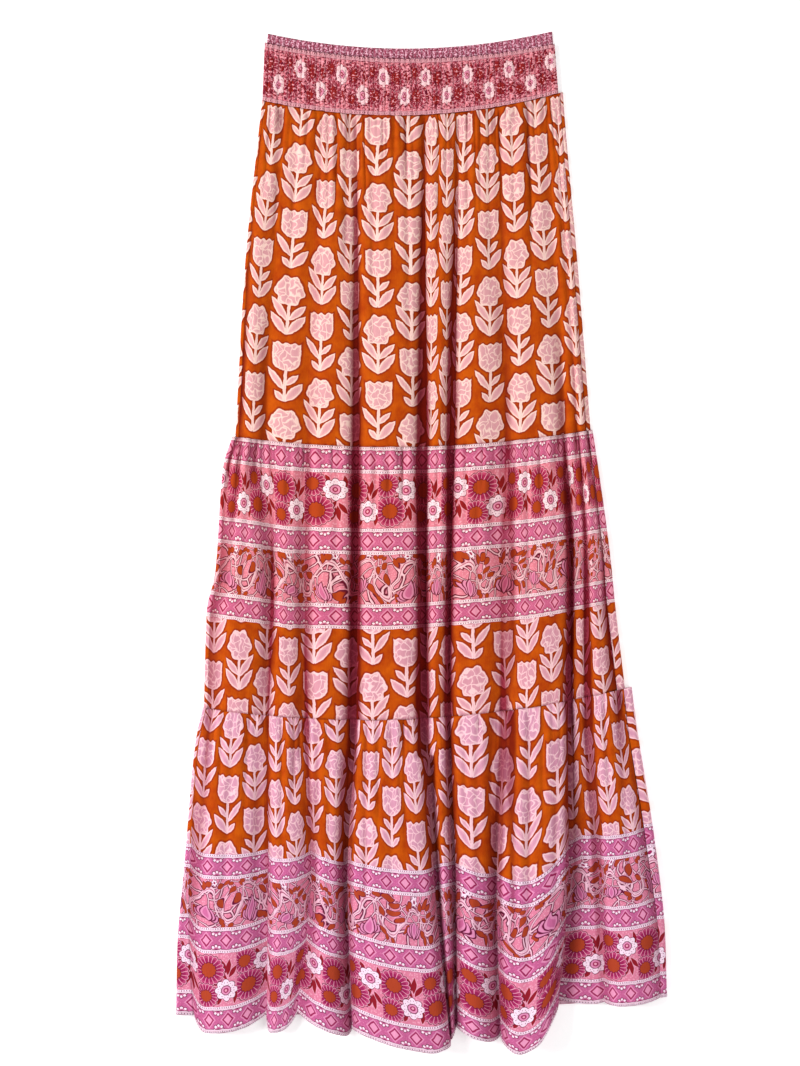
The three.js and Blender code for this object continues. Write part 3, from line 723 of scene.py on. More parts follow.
def band_front():
    """The shirred front half: uneven upright ridges, pinched by rows of elastic thread."""
    random = np.random.default_rng(SEED + 30)
    pitch = random.uniform(0.75, 1.3, BAND_RIDGES)
    edge = np.concatenate(([0], np.cumsum(pitch))) / pitch.sum()
    size = random.uniform(0.55, 1.15, BAND_RIDGES)
    u = np.concatenate([np.linspace(edge[i], edge[i + 1], RIDGE_COLUMNS, endpoint=False)
                        for i in range(BAND_RIDGES)] + [[1.0]])
    ridge = np.minimum(np.arange(len(u)) // RIDGE_COLUMNS, BAND_RIDGES - 1)
    phase = (u - edge[ridge]) / (edge[ridge + 1] - edge[ridge])
    depth = BAND_DEPTH["front"]
    foot = depth - BAND_EDGING
    down = np.concatenate((np.linspace(0, BAND_EDGING, 4), np.linspace(BAND_EDGING, foot, 37)[1:],
                           np.linspace(foot, depth, 4)[1:]))
    below, above = down[:, None], depth - down[:, None]
    wander = 0.0016 * np.sin(2 * math.pi * (below / depth * 1.7 + np.arange(len(u)) * 0.013))
    x, y = band_rows("front", down, u + wander * np.sin(math.pi * u))
    y += 0.5 * np.sin(2 * math.pi * phase) * np.exp(-(below / 3) ** 2)
    rows = 0.72 + 0.28 * np.cos(2 * math.pi * below / BAND_ELASTIC_PITCH)
    height = BAND_RIDGE * size[ridge] * np.sin(math.pi * phase) ** 0.8 * rows
    z = BAND_LIFT + BAND_ARCH * np.sin(math.pi * u) + height
    z = z - 0.6 * np.exp(-(below / 1.6) ** 2) - 0.7 * np.exp(-(above / 1.6) ** 2)
    scale = BAND_HEIGHT["zinnia"] / (depth - 2 * BAND_EDGING)
    bands = []
    for upper, lower in zip(down[:-1], down[1:]):
        if lower <= BAND_EDGING + 1e-6:
            bands.append(("stripe", BAND_HEIGHT["stripe"] - upper, BAND_HEIGHT["stripe"] - lower))
        elif upper >= foot - 1e-6:
            bands.append(("stripe", depth - upper, depth - lower))
        else:
            bands.append(("zinnia", (foot - upper) * scale, (foot - lower) * scale))
    return np.stack((x, y, z), axis=-1), u * BAND_FLAT, bands


def band_back():
    """The back half lies flat; its wrong side faces up and shows over the front's top edge."""
    down = np.linspace(0, BAND_DEPTH["back"], 36)
    u = np.linspace(1, 0, BAND_RIDGES * 6 + 1)
    x, y = band_rows("back", down, u)
    ridge = 0.85 * np.sin(2 * math.pi * u * BAND_RIDGES + 1.5 * np.sin(u * 37))
    z = 1.5 + ridge * (0.85 + 0.15 * np.cos(2 * math.pi * down[:, None] / BAND_ELASTIC_PITCH))
    bands = [("zinnia", 56 - 0.8 * upper, 56 - 0.8 * lower) for upper, lower in zip(down[:-1], down[1:])]
    return np.stack((x, y, z), axis=-1), u * -BAND_FLAT, bands


# Stitches

def stitches(name, points, normals, material):
    """A row of small rounded thread stitches along a line of points and normals, one mesh."""
    sides = 6
    angle = np.linspace(0, 2 * math.pi, sides, endpoint=False)
    ring_at = (0.0, 0.16, 0.5, 0.84, 1.0)
    ring_size = (0.25, 0.8, 1.0, 0.8, 0.25)
    vertices, faces = [], []
    run = np.concatenate(([0], np.cumsum(np.linalg.norm(np.diff(points, axis=0), axis=1))))

    def read(table, place):
        return np.array([np.interp(place, run, table[:, axis]) for axis in range(3)])

    for start in np.arange(STITCH_GAP, run[-1] - STITCH_LENGTH, STITCH_LENGTH + STITCH_GAP):
        begin = read(points, start)
        along = read(points, start + STITCH_LENGTH) - begin
        side = np.cross(along, read(normals, start + STITCH_LENGTH / 2))
        side /= max(np.linalg.norm(side), 1e-9)
        up = np.cross(side, along)
        up /= max(np.linalg.norm(up), 1e-9)
        first = len(vertices)
        for t, size in zip(ring_at, ring_size):
            middle = begin + along * t + up * STITCH_RADIUS * (0.2 + 0.5 * math.sin(math.pi * t))
            for a in angle:
                around = side * math.cos(a) + up * 0.7 * math.sin(a)
                vertices.append(middle + STITCH_RADIUS * size * around)
        for k in range(len(ring_at) - 1):
            for s in range(sides):
                a, b = first + k * sides + s, first + k * sides + (s + 1) % sides
                faces.append((a, b, b + sides, a + sides))
        for k, order in ((0, -1), (len(ring_at) - 1, 1)):
            cap = [first + k * sides + s for s in range(sides)][::order]
            faces += [tuple(cap[:4]), (cap[0], *cap[3:])]
    faces = np.array(faces)
    return mesh_object(name, np.array(vertices) * MM, faces, np.zeros(len(faces)), [material], {}, {})


def line_above_hem(points):
    """Points and normals on the outer face, where the hem's stitches run."""
    normal = normals_of(points)[-1]
    step = np.linalg.norm(points[-1] - points[-2], axis=1)
    t = np.clip(HEM_STITCH / step, 0, 1)[:, None]
    return points[-1] * (1 - t) + points[-2] * t + normal * HEM_CLOTH / 2, normal


# Material nodes, written as arithmetic on sockets

class Value:
    def __init__(self, net, socket):
        self.net, self.socket = net, socket

    def __add__(self, other):
        return self.net.math("ADD", self, other)

    def __sub__(self, other):
        return self.net.math("SUBTRACT", self, other)

    def __rsub__(self, other):
        return self.net.math("SUBTRACT", other, self)

    def __mul__(self, other):
        return self.net.math("MULTIPLY", self, other)

    def __truediv__(self, other):
        return self.net.math("DIVIDE", self, other)

    def __mod__(self, other):
        return self.net.math("FLOORED_MODULO", self, other)

    def __abs__(self):
        return self.net.math("ABSOLUTE", self)

    __radd__ = __add__


class Net:
    """A material's node tree."""

    def __init__(self, name, palette=None):
        self.material = bpy.data.materials.new(name)
        self.material.use_nodes = True
        self.tree = self.material.node_tree
        self.shader = self.tree.nodes["Principled BSDF"]
        self.palette = palette

    def node(self, kind, **settings):
        made = self.tree.nodes.new(kind)
        for key, value in settings.items():
            setattr(made, key, value)
        return made

    def feed(self, socket, value):
        if isinstance(value, Value):
            self.tree.links.new(value.socket, socket)
        else:
            socket.default_value = value

    def math(self, operation, *inputs, clamp=False):
        made = self.node("ShaderNodeMath", operation=operation, use_clamp=clamp)
        for socket, value in zip(made.inputs, inputs):
            self.feed(socket, value)
        return Value(self, made.outputs[0])

    def fold(self, operation, values):
        found = values[0]
        for value in values[1:]:
            found = self.math(operation, found, value)
        return found

    def least(self, *values):
        return self.fold("MINIMUM", values)

    def most(self, *values):
        return self.fold("MAXIMUM", values)

    def inside(self, distance, limit=0.0, soft=0.5):
        """1 where a distance is below the limit and 0 above it, over a soft edge."""
        return self.math("MULTIPLY_ADD", distance, -1 / soft, limit / soft + 0.5, clamp=True)

    def between(self, value, low, high, soft=0.3):
        return self.inside(abs(value - (low + high) / 2), (high - low) / 2, soft)

    def point(self, x, y):
        made = self.node("ShaderNodeCombineXYZ")
        self.feed(made.inputs[0], x)
        self.feed(made.inputs[1], y)
        return Value(self, made.outputs[0])

    def split(self, vector):
        made = self.node("ShaderNodeSeparateXYZ")
        self.feed(made.inputs[0], vector)
        return Value(self, made.outputs[0]), Value(self, made.outputs[1])

    def vector(self, operation, a, b, output=0):
        made = self.node("ShaderNodeVectorMath", operation=operation)
        self.feed(made.inputs[0], a)
        if operation == "SCALE":
            self.feed(made.inputs["Scale"], b)
        else:
            self.feed(made.inputs[1], b)
        return Value(self, made.outputs[output])

    def shifted(self, place, by, amount):
        return self.vector("ADD", place, self.vector("SCALE", by, amount))

    def mix(self, factor, a, b):
        made = self.node("ShaderNodeMix", data_type="RGBA", blend_type="MIX")
        self.feed(made.inputs[0], factor)
        self.feed(made.inputs[6], a)
        self.feed(made.inputs[7], b)
        return Value(self, made.outputs[2])

    def tone(self, mask, colour, ink):
        """One of the palette's inks laid over a colour through a mask."""
        return self.mix(mask, colour, self.palette[ink])

    def paint(self, colour, distance, *coats):
        """Coats laid inside a distance one after the other: limit, softness of the edge and ink."""
        for limit, soft, ink in coats:
            colour = self.tone(self.inside(distance, limit, soft), colour, ink)
        return colour

    def dotted(self, colour, place, scale, size, ink):
        """Fine dots scattered over a ground."""
        made = self.node("ShaderNodeTexVoronoi", voronoi_dimensions="2D", feature="F1")
        self.feed(made.inputs["Vector"], place)
        made.inputs["Scale"].default_value = scale
        return self.paint(colour, Value(self, made.outputs["Distance"]), (size, 0.12, ink))

    def noise(self, place, scale, detail=2.0, rough=0.5):
        made = self.node("ShaderNodeTexNoise", noise_dimensions="2D")
        self.feed(made.inputs["Vector"], place)
        made.inputs["Scale"].default_value = scale
        made.inputs["Detail"].default_value = detail
        made.inputs["Roughness"].default_value = rough
        return Value(self, made.outputs["Fac"]), Value(self, made.outputs["Color"])

    def print_place(self):
        """Place in the print in millimetres, from the mesh's own map, a little wobbly as hand
        blocks leave it."""
        uv = self.node("ShaderNodeUVMap", uv_map="Print")
        place = Value(self, uv.outputs[0])
        _, shake = self.noise(place, 0.11, detail=1.0)
        shake = self.vector("SUBTRACT", shake, (0.5, 0.5, 0.5))
        u, v = self.split(self.shifted(place, shake, 1.6))
        return place, u, v

    def turned(self, p, origin, along, scale=(1, 1)):
        """x along a direction and y across it, from an origin, both in units of the scale."""
        made = self.node("ShaderNodeMapping", vector_type="TEXTURE")
        self.feed(made.inputs["Vector"], p)
        made.inputs["Location"].default_value = (*origin, 0)
        made.inputs["Rotation"].default_value = (0, 0, math.atan2(along[1], along[0]))
        made.inputs["Scale"].default_value = (*scale, 1)
        return self.split(Value(self, made.outputs[0]))

    def leaves(self, p, rows, grow=1.0):
        """Distance to the nearest leaf's outline, below 0 inside it: base, tip and half width each."""
        found = []
        for x, y, tip_x, tip_y, half in rows:
            along, half = (tip_x - x, tip_y - y), half * grow
            t, aside = self.turned(p, (x, y), along, (math.hypot(*along), half))
            found.append((abs(aside) - t * self.math("MULTIPLY_ADD", t, -4.0, 4.0)) * half)
        return self.least(*found)

    def bars(self, p, rows, half):
        """Distance to the nearest straight stem's outline: start and end each."""
        found = []
        for x, y, end_x, end_y in rows:
            along = (end_x - x, end_y - y)
            lengthwise, aside = self.turned(p, ((x + end_x) / 2, (y + end_y) / 2), along)
            found.append(self.most(abs(lengthwise) - math.hypot(*along) / 2, abs(aside) - half))
        return self.least(*found)

    def round(self, p, centre):
        """Distance from a centre and angle round it."""
        x, y = self.split(self.vector("SUBTRACT", p, (centre[0], centre[1], 0)))
        return self.vector("LENGTH", self.point(x, y), (0, 0, 0), output=1), self.math("ARCTAN2", y, x)

    def waves(self, angle, count, turn=0.0):
        return self.math("COSINE", self.math("MULTIPLY_ADD", angle, count, turn))

    def cells(self, p, scale, randomness=0.75):
        made = self.node("ShaderNodeTexVoronoi", voronoi_dimensions="2D", feature="DISTANCE_TO_EDGE")
        self.feed(made.inputs["Vector"], p)
        made.inputs["Scale"].default_value = scale
        made.inputs["Randomness"].default_value = randomness
        return Value(self, made.outputs["Distance"])

    def finish(self, colour, place):
        """Cotton: uneven dye, painted shade low in a fold and painted shadow beside a tall one, a fine
        crinkle, and a soft sheen.
        """
        streaks, _ = self.noise(self.vector("MULTIPLY", place, (1.0, 0.14, 1.0)), 0.9, detail=3.0, rough=0.6)
        shade = self.math("MULTIPLY_ADD", streaks, DYE_STREAK, 1 - DYE_STREAK * 0.5)
        # painted shade and shadow: the colour darkens and reddens by the amount the mesh stores for each
        # point
        painted_shade = self.node("ShaderNodeAttribute", attribute_name="painted_shade")
        colour = self.vector("SCALE", colour, shade)
        colour = self.mix(Value(self, painted_shade.outputs["Fac"]), colour,
                          self.vector("MULTIPLY", colour, PAINTED_SHADE_TINT))
        bump = self.node("ShaderNodeBump")
        bump.inputs["Strength"].default_value = 0.35
        bump.inputs["Distance"].default_value = 0.0006
        self.feed(bump.inputs["Height"], streaks)
        return self.shaded({"Base Color": colour, "Roughness": 0.86, "Specular IOR Level": 0.1,
                            "Sheen Weight": 0.01, "Sheen Roughness": 0.5,
                            "Normal": Value(self, bump.outputs[0])})

    def grain(self, scale, detail):
        """Noise in the piece's own coordinates."""
        coordinates = self.node("ShaderNodeTexCoord")
        return self.noise(Value(self, coordinates.outputs["Object"]), scale, detail=detail)[0]

    def shaded(self, values):
        for key, value in values.items():
            self.feed(self.shader.inputs[key], value)
        return self.material


def tint(red, green, blue, fade=0.0):
    """A colour given as it shows on a screen, as linear light, faded towards the pale wrong side."""
    made = []
    for value, pale in zip((red, green, blue), WRONG_SIDE):
        value = value + (pale - value) * fade
        share = value / 255
        made.append(share / 12.92 if share <= 0.04045 else ((share + 0.055) / 1.055) ** 2.4)
    return (*made, 1.0)


# Print

def flower_field(name, tier, fade):
    """Upright flowers in staggered columns on orange: two kinds by turns, with cream outlines."""
    outline, petal, dark = (tint(*colour, fade) for colour in PETALS[tier])
    net = Net(name, {"outline": outline, "shade": tint(140, 32, 10, fade)})
    place, u, v = net.print_place()
    pitch = COLUMN_PITCH[tier]
    column = net.math("FLOOR", u / pitch + 0.5)
    x = u - column * pitch
    even_foot, odd_foot = FLOWER_FEET[tier]
    height = (v - ((column % 2) * (odd_foot - even_foot) + even_foot)) / ROW_PITCH
    row = net.math("FLOOR", height)
    y = (height - row) * ROW_PITCH - 35.0
    kind = (row + 1 + net.math("FLOOR", column * 0.5)) % 2
    x, y = x * (FLOWER_WIDTH / (pitch if tier == "tier1" else -pitch)), y * 1.01
    p = net.point(x, y)

    radius, angle = net.round(net.vector("MULTIPLY", p, (1.0, 0.86, 1.0)), (0.3, 11.8))
    rose = radius - (net.waves(angle, 6.0, 0.6) * 0.9 + net.waves(angle, 9.0, 2.0) * 0.6 + 13.4)
    cup, _ = net.round(net.point(x - 0.5, net.least(y - 12.0, 0.0)), (0, 0))
    tulip = net.most(cup - 12.6, y - net.math("COSINE", x * 0.8) * 1.0 - abs(x) * 0.1 - 28.0)
    stem = net.bars(p, ((0.6, 2, -0.4, -32),), 1.3)
    leafy = net.least(rose, stem, net.leaves(p, (
        (0, -19, -16, 6, 3.7), (-0.8, -33, -16, -10, 4.2),
        (0.4, -18, 16, -1, 3.6), (-0.2, -33, 16.2, -12, 4.4))))
    budded = net.least(tulip, stem, net.leaves(p, (
        (-0.5, -21, -16, 2, 3.3), (0.2, -16, 11.5, -4, 2.8),
        (0, -33, 15.8, -13, 4.4), (-0.5, -33, -9, -22, 2.7))))
    edge = leafy + (budded - leafy) * kind

    speck, _ = net.noise(place, 0.34, detail=2.0)
    ragged = edge + (speck - 0.5) * 1.0
    head = net.inside(rose + (tulip - rose) * kind, -0.8, 1.0)
    _, bend = net.noise(place, 0.12, detail=0.0)
    bent = net.shifted(p, bend, 9.0)
    lines = net.inside(net.cells(net.vector("MULTIPLY", bent, (1.0, 0.72, 1.0)), 0.17), 0.09, 0.08)
    cloud, _ = net.noise(place, 0.05, detail=3.0, rough=0.6)
    cloud = net.math("MULTIPLY_ADD", cloud, 2.2, -0.6, clamp=True)
    ground = net.mix(cloud, tint(172, 58, 0, fade), tint(200, 86, 2, fade))
    colour = net.tone(net.inside(edge, 1.9, 1.6) * 0.75, ground, "shade")
    colour = net.paint(colour, ragged, (0.1, 0.5, "outline"))
    fill = net.mix(net.inside(ragged, -2.7, 0.9) * 0.55, petal, dark)
    fill = net.tone(lines * head, fill, "outline")
    colour = net.mix(net.inside(ragged, -1.25, 0.6), colour, fill)
    return net.finish(colour, place)


def ladder(net, colour, u, edge):
    """The woven-looking double line along a band: ticks on white between thin plum lines."""
    ticks = net.inside(abs((u % 2.3) - 1.15), 0.42, 0.3)
    colour = net.paint(colour, edge, (4.3, 0.3, "plum"), (3.9, 0.3, "white"))
    colour = net.tone(net.between(edge, 2.7, 2.95, 0.25), colour, "magenta")
    colour = net.tone(net.between(edge, 1.0, 2.2, 0.3) * ticks, colour, "plum")
    return net.paint(colour, edge, (0.3, 0.3, "magenta"))


def stripe_band(name, palette):
    """A mauve stripe with pale diamonds and small half flowers, a double line on each side."""
    net = Net(name, palette)
    place, u, v = net.print_place()
    u = u * BORDER_SHARE
    edge = net.least(v, BAND_HEIGHT["stripe"] - v)
    x, y = abs((u % STRIPE_TILE) - STRIPE_TILE / 2), abs(v - BAND_HEIGHT["stripe"] / 2)
    ground, _ = net.noise(place, 0.5, detail=2.0)
    colour = net.mix(ground, palette["mauve"], palette["mauve_mid"])
    colour = net.dotted(colour, place, 0.42, 0.13, "mauve_pale")
    colour = net.paint(colour, x / 5.0 + y / 6.2, (1.5, 0.1, "mauve_pale"), (1.18, 0.1, "magenta"),
                       (0.8, 0.1, "rose_pale"))
    radius, angle = net.round(net.point(10.0 - x, 10.4 - y), (0, 0))
    petals = net.waves(angle, 8.0)
    reach = radius - petals * 0.55
    colour = net.paint(colour, reach, (5.9, 0.3, "plum"), (5.1, 0.4, "white"))
    colour = net.tone(net.inside(petals, -0.6, 0.2) * net.inside(radius, 5.0, 0.4), colour, "magenta")
    colour = net.paint(colour, reach, (2.8, 0.4, "mauve"))
    colour = net.paint(colour, radius, (1.4, 0.3, "plum"))
    return net.finish(ladder(net, colour, u, edge), place)


def zinnia_band(name, palette, share=BORDER_SHARE, shirred=False):
    """A pink band of rayed flowers, white scalloped flowers and small red leaves; every other
    stretch is turned upside down. Shirred cloth is bunched, so its print is broken up."""
    net = Net(name, palette)
    place, u, v = net.print_place()
    if shirred:
        _, shake = net.noise(net.vector("MULTIPLY", place, (0.55, 1.0, 1.0)), 0.3, detail=3.0, rough=0.7)
        shake = net.vector("SUBTRACT", shake, (0.5, 0.5, 0.5))
        u, v = net.split(net.shifted(net.point(u, v), shake, 7.0))
    u = u * share
    tile = net.math("FLOOR", u / ZINNIA_TILE)
    x = u - tile * ZINNIA_TILE
    y = v + (tile % 2) * (BAND_HEIGHT["zinnia"] - v * 2.0)
    p = net.point(x, y)
    leaves = net.leaves(p, (
        (30, 28, 22, 41, 2.1), (29.5, 35, 26, 48.5, 2.2), (31, 33, 33, 49.5, 2.2), (32, 30, 40, 42, 2.2),
        (21, 26, 17, 22.5, 1.8), (37, 2, 39, 15, 2), (20, 2, 23.5, 11, 2), (19, 23, 24.5, 27.5, 1.8)))
    colour = net.dotted(palette["pink"], place, 0.3, 0.24, "pink_light")
    colour = net.paint(colour, leaves, (0.75, 0.3, "pink_light"), (0.1, 0.35, "red"))
    if shirred:
        broken, _ = net.noise(net.vector("MULTIPLY", place, (0.6, 1.0, 1.0)), 0.42, detail=2.0, rough=0.6)
        colour = net.paint(colour, broken, (0.43, 0.05, "plum"))
    for centre, size in (((12.0, 38.5), 15.6), ((8.0, 11.5), 12.4)):
        radius, angle = net.round(p, centre)
        wave = abs(net.waves(angle, 9.0))
        reach = radius - wave * 1.5
        colour = net.paint(colour, reach, (size, 0.35, "plum"), (size - 0.8, 0.35, "pink_light"))
        for limit, soft, line, fine, ink in ((size - 1.5, 0.4, 0.2, 0.12, "rose"),
                                             (size * 0.74, 1.2, 0.3, 0.16, "magenta")):
            rays = net.inside(reach, limit, soft) * net.inside(line - wave, 0.0, fine)
            colour = net.tone(rays, colour, ink)
        core = radius - abs(net.waves(angle, 6.0)) * 1.2
        colour = net.paint(colour, core, (size * 0.48, 0.35, "plum"), (size * 0.43, 0.5, "rust"))
    if shirred:
        colour = net.paint(colour, broken, (0.36, 0.05, "plum"))
        colour = net.paint(colour, 0.62 - broken, (0.0, 0.05, "pink_light"))
    radius, angle = net.round(p, (29.0, 17.0))
    wave = abs(net.waves(angle, 4.0))
    reach = radius - wave * 2.4
    colour = net.paint(colour, reach, (9.6, 0.35, "plum"), (8.9, 0.35, "white"))
    dots = net.inside(net.waves(angle, 16.0), -0.8, 0.2) * net.between(reach, 5.8, 6.8, 0.3)
    colour = net.tone(dots, colour, "plum")
    rays = net.inside(wave, 0.12, 0.1) * net.between(radius, 4.4, 6.6, 0.4)
    colour = net.tone(rays, colour, "plum")
    colour = net.paint(colour, radius, (5.2, 0.35, "plum"), (4.4, 0.35, "mauve_pale"),
                       (2.6, 0.35, "magenta"), (1.3, 0.35, "pink_light"))
    return net.finish(colour, place)


def vine_band(name, palette):
    """A pink band with a pale stem that winds from edge to edge, rust leaves and cupped flowers."""
    net = Net(name, palette)
    place, u, v = net.print_place()
    _, bend = net.noise(place, 0.03, detail=0.0)
    u, v = net.split(net.shifted(net.point(u * BORDER_SHARE - 10.0, v - 10.0), bend, 20.0))
    p = net.point(u % VINE_TILE, v)
    rise = net.math("SINE", u * (2 * math.pi / VINE_TILE))
    sway = net.math("SINE", u * (2 * math.pi / VINE_SWAY)) * 1.3
    stem = abs(v - (26.0 + rise * 17.0) - sway) * 0.5
    second = abs(v - (22.0 - rise * 13.0) - sway) * 0.62 + 0.5
    twigs = net.bars(p, ((16.5, 36, 25, 46), (25, 18.5, 31.5, 33), (31.5, 33, 29.5, 44),
                         (3.5, 33, 2.5, 44), (20, 27, 20.5, 14), (38, 14, 41.5, 24)), 0.1)
    colour = net.dotted(palette["pink"], place, 0.34, 0.2, "pink_light")
    tendrils = net.cells(net.point(u, v), 0.085, 0.9) * 11.0
    lines = net.least(stem - 0.5, second - 0.1, twigs, tendrils + 0.2)
    colour = net.paint(colour, lines, (1.5, 0.3, "plum"), (0.7, 0.3, "cream"))
    colour = net.paint(colour, stem, (0.2, 0.3, "magenta"))
    leaves = net.leaves(p, (
        (22.5, 42, 20.5, 50.5, 3), (24.5, 45, 32.5, 50, 2.8), (30.5, 31, 37, 38.5, 3.2),
        (28.5, 25.5, 23.5, 33.5, 3), (29.8, 42, 36.5, 46.5, 2.7), (3, 42, 9, 48.5, 3),
        (41, 22.5, 36, 29, 2.8), (20.5, 15, 25.5, 7, 3), (3.2, 37, 0.4, 46, 2.4),
        (32, 7.5, 37.5, 2, 2.6), (2.5, 19, 0.8, 9, 2.6), (27, 9.5, 25.5, 1.5, 2.3)), grow=1.1)
    colour = net.paint(colour, leaves, (1.0, 0.35, "pink_light"), (0.4, 0.3, "plum"), (-0.4, 0.35, "rust"))
    for row in ((10.5, 6, 1.8, 15.5, 3.2), (10.5, 6, 19.4, 15.5, 3.2), (10.5, 5.5, 5.6, 21, 3.6),
                (10.5, 5.5, 15.5, 21, 3.6), (10.5, 5, 10.5, 24, 3.8)):
        colour = net.paint(colour, net.leaves(p, (row,)), (0.6, 0.3, "plum"), (-0.3, 0.3, "mauve_pale"),
                           (-1.9, 0.5, "mauve_mid"))
    radius, angle = net.round(p, (13.0, 49.5))
    reach = radius - net.waves(angle, 6.0) * 0.7
    colour = net.paint(colour, reach, (4.0, 0.3, "plum"), (3.4, 0.3, "white"))
    colour = net.paint(colour, radius, (1.4, 0.3, "magenta"))
    return net.finish(colour, place)


def shirred_inside(name):
    """The inside of the band: the print shows through pale and broken up, on a dark mauve ground that also
    carries painted shade.
    """
    net = Net(name, {"light": tint(242, 190, 206), "dark": tint(132, 46, 66)})
    place, _, _ = net.print_place()
    stretched = net.vector("MULTIPLY", place, (0.6, 1.0, 1.0))
    speck, _ = net.noise(stretched, 0.62, detail=3.0, rough=0.65)
    patch, _ = net.noise(stretched, 0.14, detail=2.0)
    # dark mauve ground: the inside's own colour, darkened with painted shade
    colour = net.mix(patch, tint(142, 56, 76), tint(184, 98, 124))
    colour = net.paint(colour, 0.56 - speck, (0.0, 0.05, "light"))
    colour = net.paint(colour, speck, (0.41, 0.06, "dark"))
    return net.finish(colour, place)


def border_palette(fade=0.0, cool=0.0, **changes):
    """Colours of the border. cool shifts them towards mauve."""
    colours = {
        "white": (252, 218, 222), "cream": (246, 192, 196), "pink": (224, 126, 140),
        "pink_light": (238, 160, 170), "rose_pale": (236, 150, 172), "rose": (188, 70, 100),
        "mauve": (190, 82, 118), "mauve_mid": (206, 104, 138), "mauve_pale": (228, 140, 166),
        "magenta": (160, 36, 72), "plum": (106, 16, 40), "rust": (176, 64, 22), "red": (148, 26, 26),
    }
    colours.update(changes)
    return {key: tint(r - 4 * cool, g, b + 15 * cool, fade) for key, (r, g, b) in colours.items()}


def thread_material(name, colour):
    net = Net(name)
    return net.shaded({"Base Color": net.mix(net.grain(900.0, 1.0), colour, tint(226, 190, 205)),
                       "Roughness": 0.7})


# Stage

def floor_material():
    net = Net("paper")
    return net.shaded({
        "Base Color": net.mix(net.grain(3.0, 2.0), (0.90, 0.90, 0.90, 1), (0.93, 0.93, 0.93, 1)),
        "Roughness": 0.9, "Specular IOR Level": 0.1, "Emission Color": (1, 1, 1, 1),
        "Emission Strength": FLOOR_GLOW})


def area_light(name, place, size, power):
    """A soft box that points at the middle of the skirt."""
    light = bpy.data.lights.new(name, "AREA")
    light.shape = "RECTANGLE"
    light.size, light.size_y = size
    light.energy = power
    lamp = bpy.data.objects.new(name, light)
    lamp.location = place
    lamp.rotation_mode = "QUATERNION"
    lamp.rotation_quaternion = mathutils.Vector(place).to_track_quat("Z", "Y")
    bpy.context.collection.objects.link(lamp)


def camera():
    """Straight above, with the photograph's frame: 1066 pixels of 1.05 mm up the long side."""
    data = bpy.data.cameras.new("camera")
    data.sensor_width = 36.0
    data.lens = data.sensor_width * CAMERA_HEIGHT / FRAME_HEIGHT
    data.clip_end = 20
    view = bpy.data.objects.new("camera", data)
    view.location = (FRAME_CENTRE[0] * MM, FRAME_CENTRE[1] * MM, CAMERA_HEIGHT * MM)
    bpy.context.collection.objects.link(view)
    bpy.context.scene.camera = view


# The skirt

def placed(points):
    """Table places moved to the frame, from the top of the CAD waistband."""
    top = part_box("waistband_back")[1][1] / MM
    return points + np.array((0.0, top - LINES["bandBackTop"][2], 0.0))


def cloth_of(tier, fade):
    """The tier's materials by pattern, for the right side or, faded, for the wrong side."""
    ending = TIERS[tier]["name"] + ("_inside" if fade else "")
    made = {"field": flower_field(f"flowers_{ending}", tier, fade)}
    if tier != "tier1":
        palette = border_palette(fade, COOL[tier])
        for pattern, draw in (("stripe", stripe_band), ("zinnia", zinnia_band), ("vine", vine_band)):
            made[pattern] = draw(f"{pattern}_{ending}", palette)
    return made


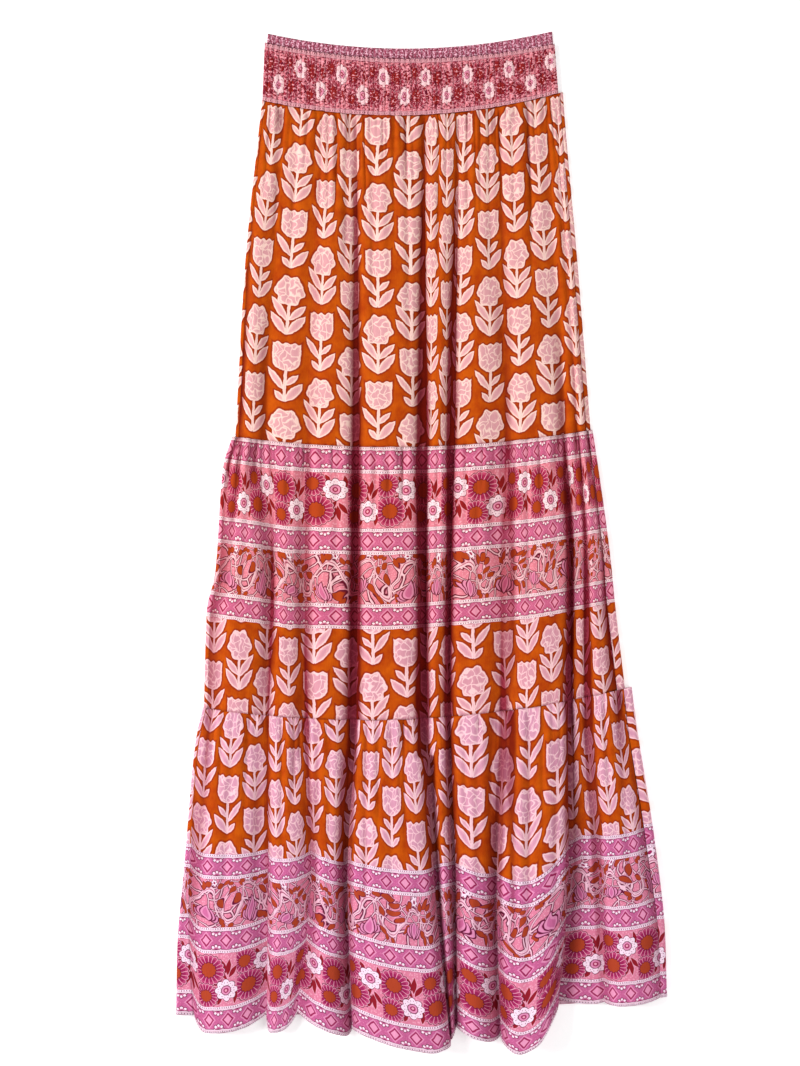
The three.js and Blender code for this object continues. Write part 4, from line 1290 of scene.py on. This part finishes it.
def dress():
    thread = thread_material("thread", tint(250, 226, 234))
    fronts = {tier: front_grid(tier) for tier in TIERS}
    lowest_front = room_under(np.concatenate([points.reshape(-1, 3) for points, _, _ in fronts.values()]))
    for tier, facts in TIERS.items():
        name, slot = facts["name"], facts["slot"]
        right, wrong = cloth_of(tier, 0.0), cloth_of(tier, WRONG_FADE)
        flats, length = sum(flat_widths(tier)), tier_length(tier)

        points, place, down = fronts[tier]
        points = placed(points)
        # painted shade and shadow for each point, scaled from the tier's top to its foot
        painted_shade = painted_shade_of(points) * np.linspace(*PAINTED_SHADE_SHARE[tier], len(down))[:, None]
        front = shell(f"{name}_tier_front", points, hem_thickness(tier, down), place,
                      bands_between(tier, down), right, wrong, painted_shade=painted_shade)
        back_points, back_place, back_down = back_grid(tier, lowest_front)
        back_points = placed(back_points)
        back = shell(f"{name}_tier_back", back_points, hem_thickness(tier, back_down), back_place,
                     bands_between(tier, back_down), right, wrong)
        for piece, side in ((front, "front"), (back, "back")):
            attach(piece, "root")
            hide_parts(f"{tier}_{side}")
        if tier == "tier3":
            for side, panel in (("front", points), ("back", back_points)):
                row = stitches(f"hem_stitches_{side}", *line_above_hem(panel), thread)
                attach(row, "root")
        flats * MM
        length * MM
        flats * MM
        length * MM


def hem_thickness(tier, down):
    """The wall row by row: thicker where the hem is turned."""
    above = tier_length(tier) - down
    turned = (1 - smoothstep(above, HEM_TURN - 1.5, HEM_TURN)) * (tier == "tier3")
    return (CLOTH + (HEM_CLOTH - CLOTH) * turned)[:, None]


def waistband():
    edging = border_palette(white=(228, 162, 170), magenta=(112, 22, 44))
    middle = border_palette(rust=(146, 32, 30), pink=(218, 120, 130), magenta=(140, 32, 48),
                            rose=(168, 52, 70), white=(250, 204, 206))
    right = {"stripe": stripe_band("stripe_band", edging),
             "zinnia": zinnia_band("zinnia_band", middle, share=1.14, shirred=True)}
    wrong = {"stripe": shirred_inside("band_inside"), "zinnia": shirred_inside("band_inside_cloth")}
    for side, (points, place, bands) in (("back", band_back()), ("front", band_front())):
        points = placed(points)
        # the front half carries painted shade where its ridges rise over the cloth beside them
        piece = shell(f"band_{side}", points, BAND_CLOTH[side], place, bands, right, wrong,
                      painted_shade=painted_shade_of(points) if side == "front" else None)
        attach(piece, "root")
        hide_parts(f"waistband_{side}")
        0.059 if side == "front" else 0.070
        "floor" if side == "back" else "band_back"


def stage():
    bpy.ops.mesh.primitive_plane_add(size=6.0, location=(0, 0, 0))
    floor = bpy.context.object
    floor.name = "floor"
    floor.data.materials.append(floor_material())
    world = bpy.data.worlds.new("studio")
    bpy.context.scene.world = world
    world.use_nodes = True
    background = world.node_tree.nodes["Background"]
    background.inputs["Color"].default_value = (1, 1, 1, 1)
    background.inputs["Strength"].default_value = WORLD_LIGHT
    area_light("key", (-2.6, 0.3, 1.85), (1.1, 1.7), KEY_LIGHT)
    area_light("fill", (1.7, -0.5, 2.2), (1.8, 1.8), FILL_LIGHT)
    bpy.context.scene.view_settings.view_transform = "Standard"


camera()
stage()
dress()
waistband()
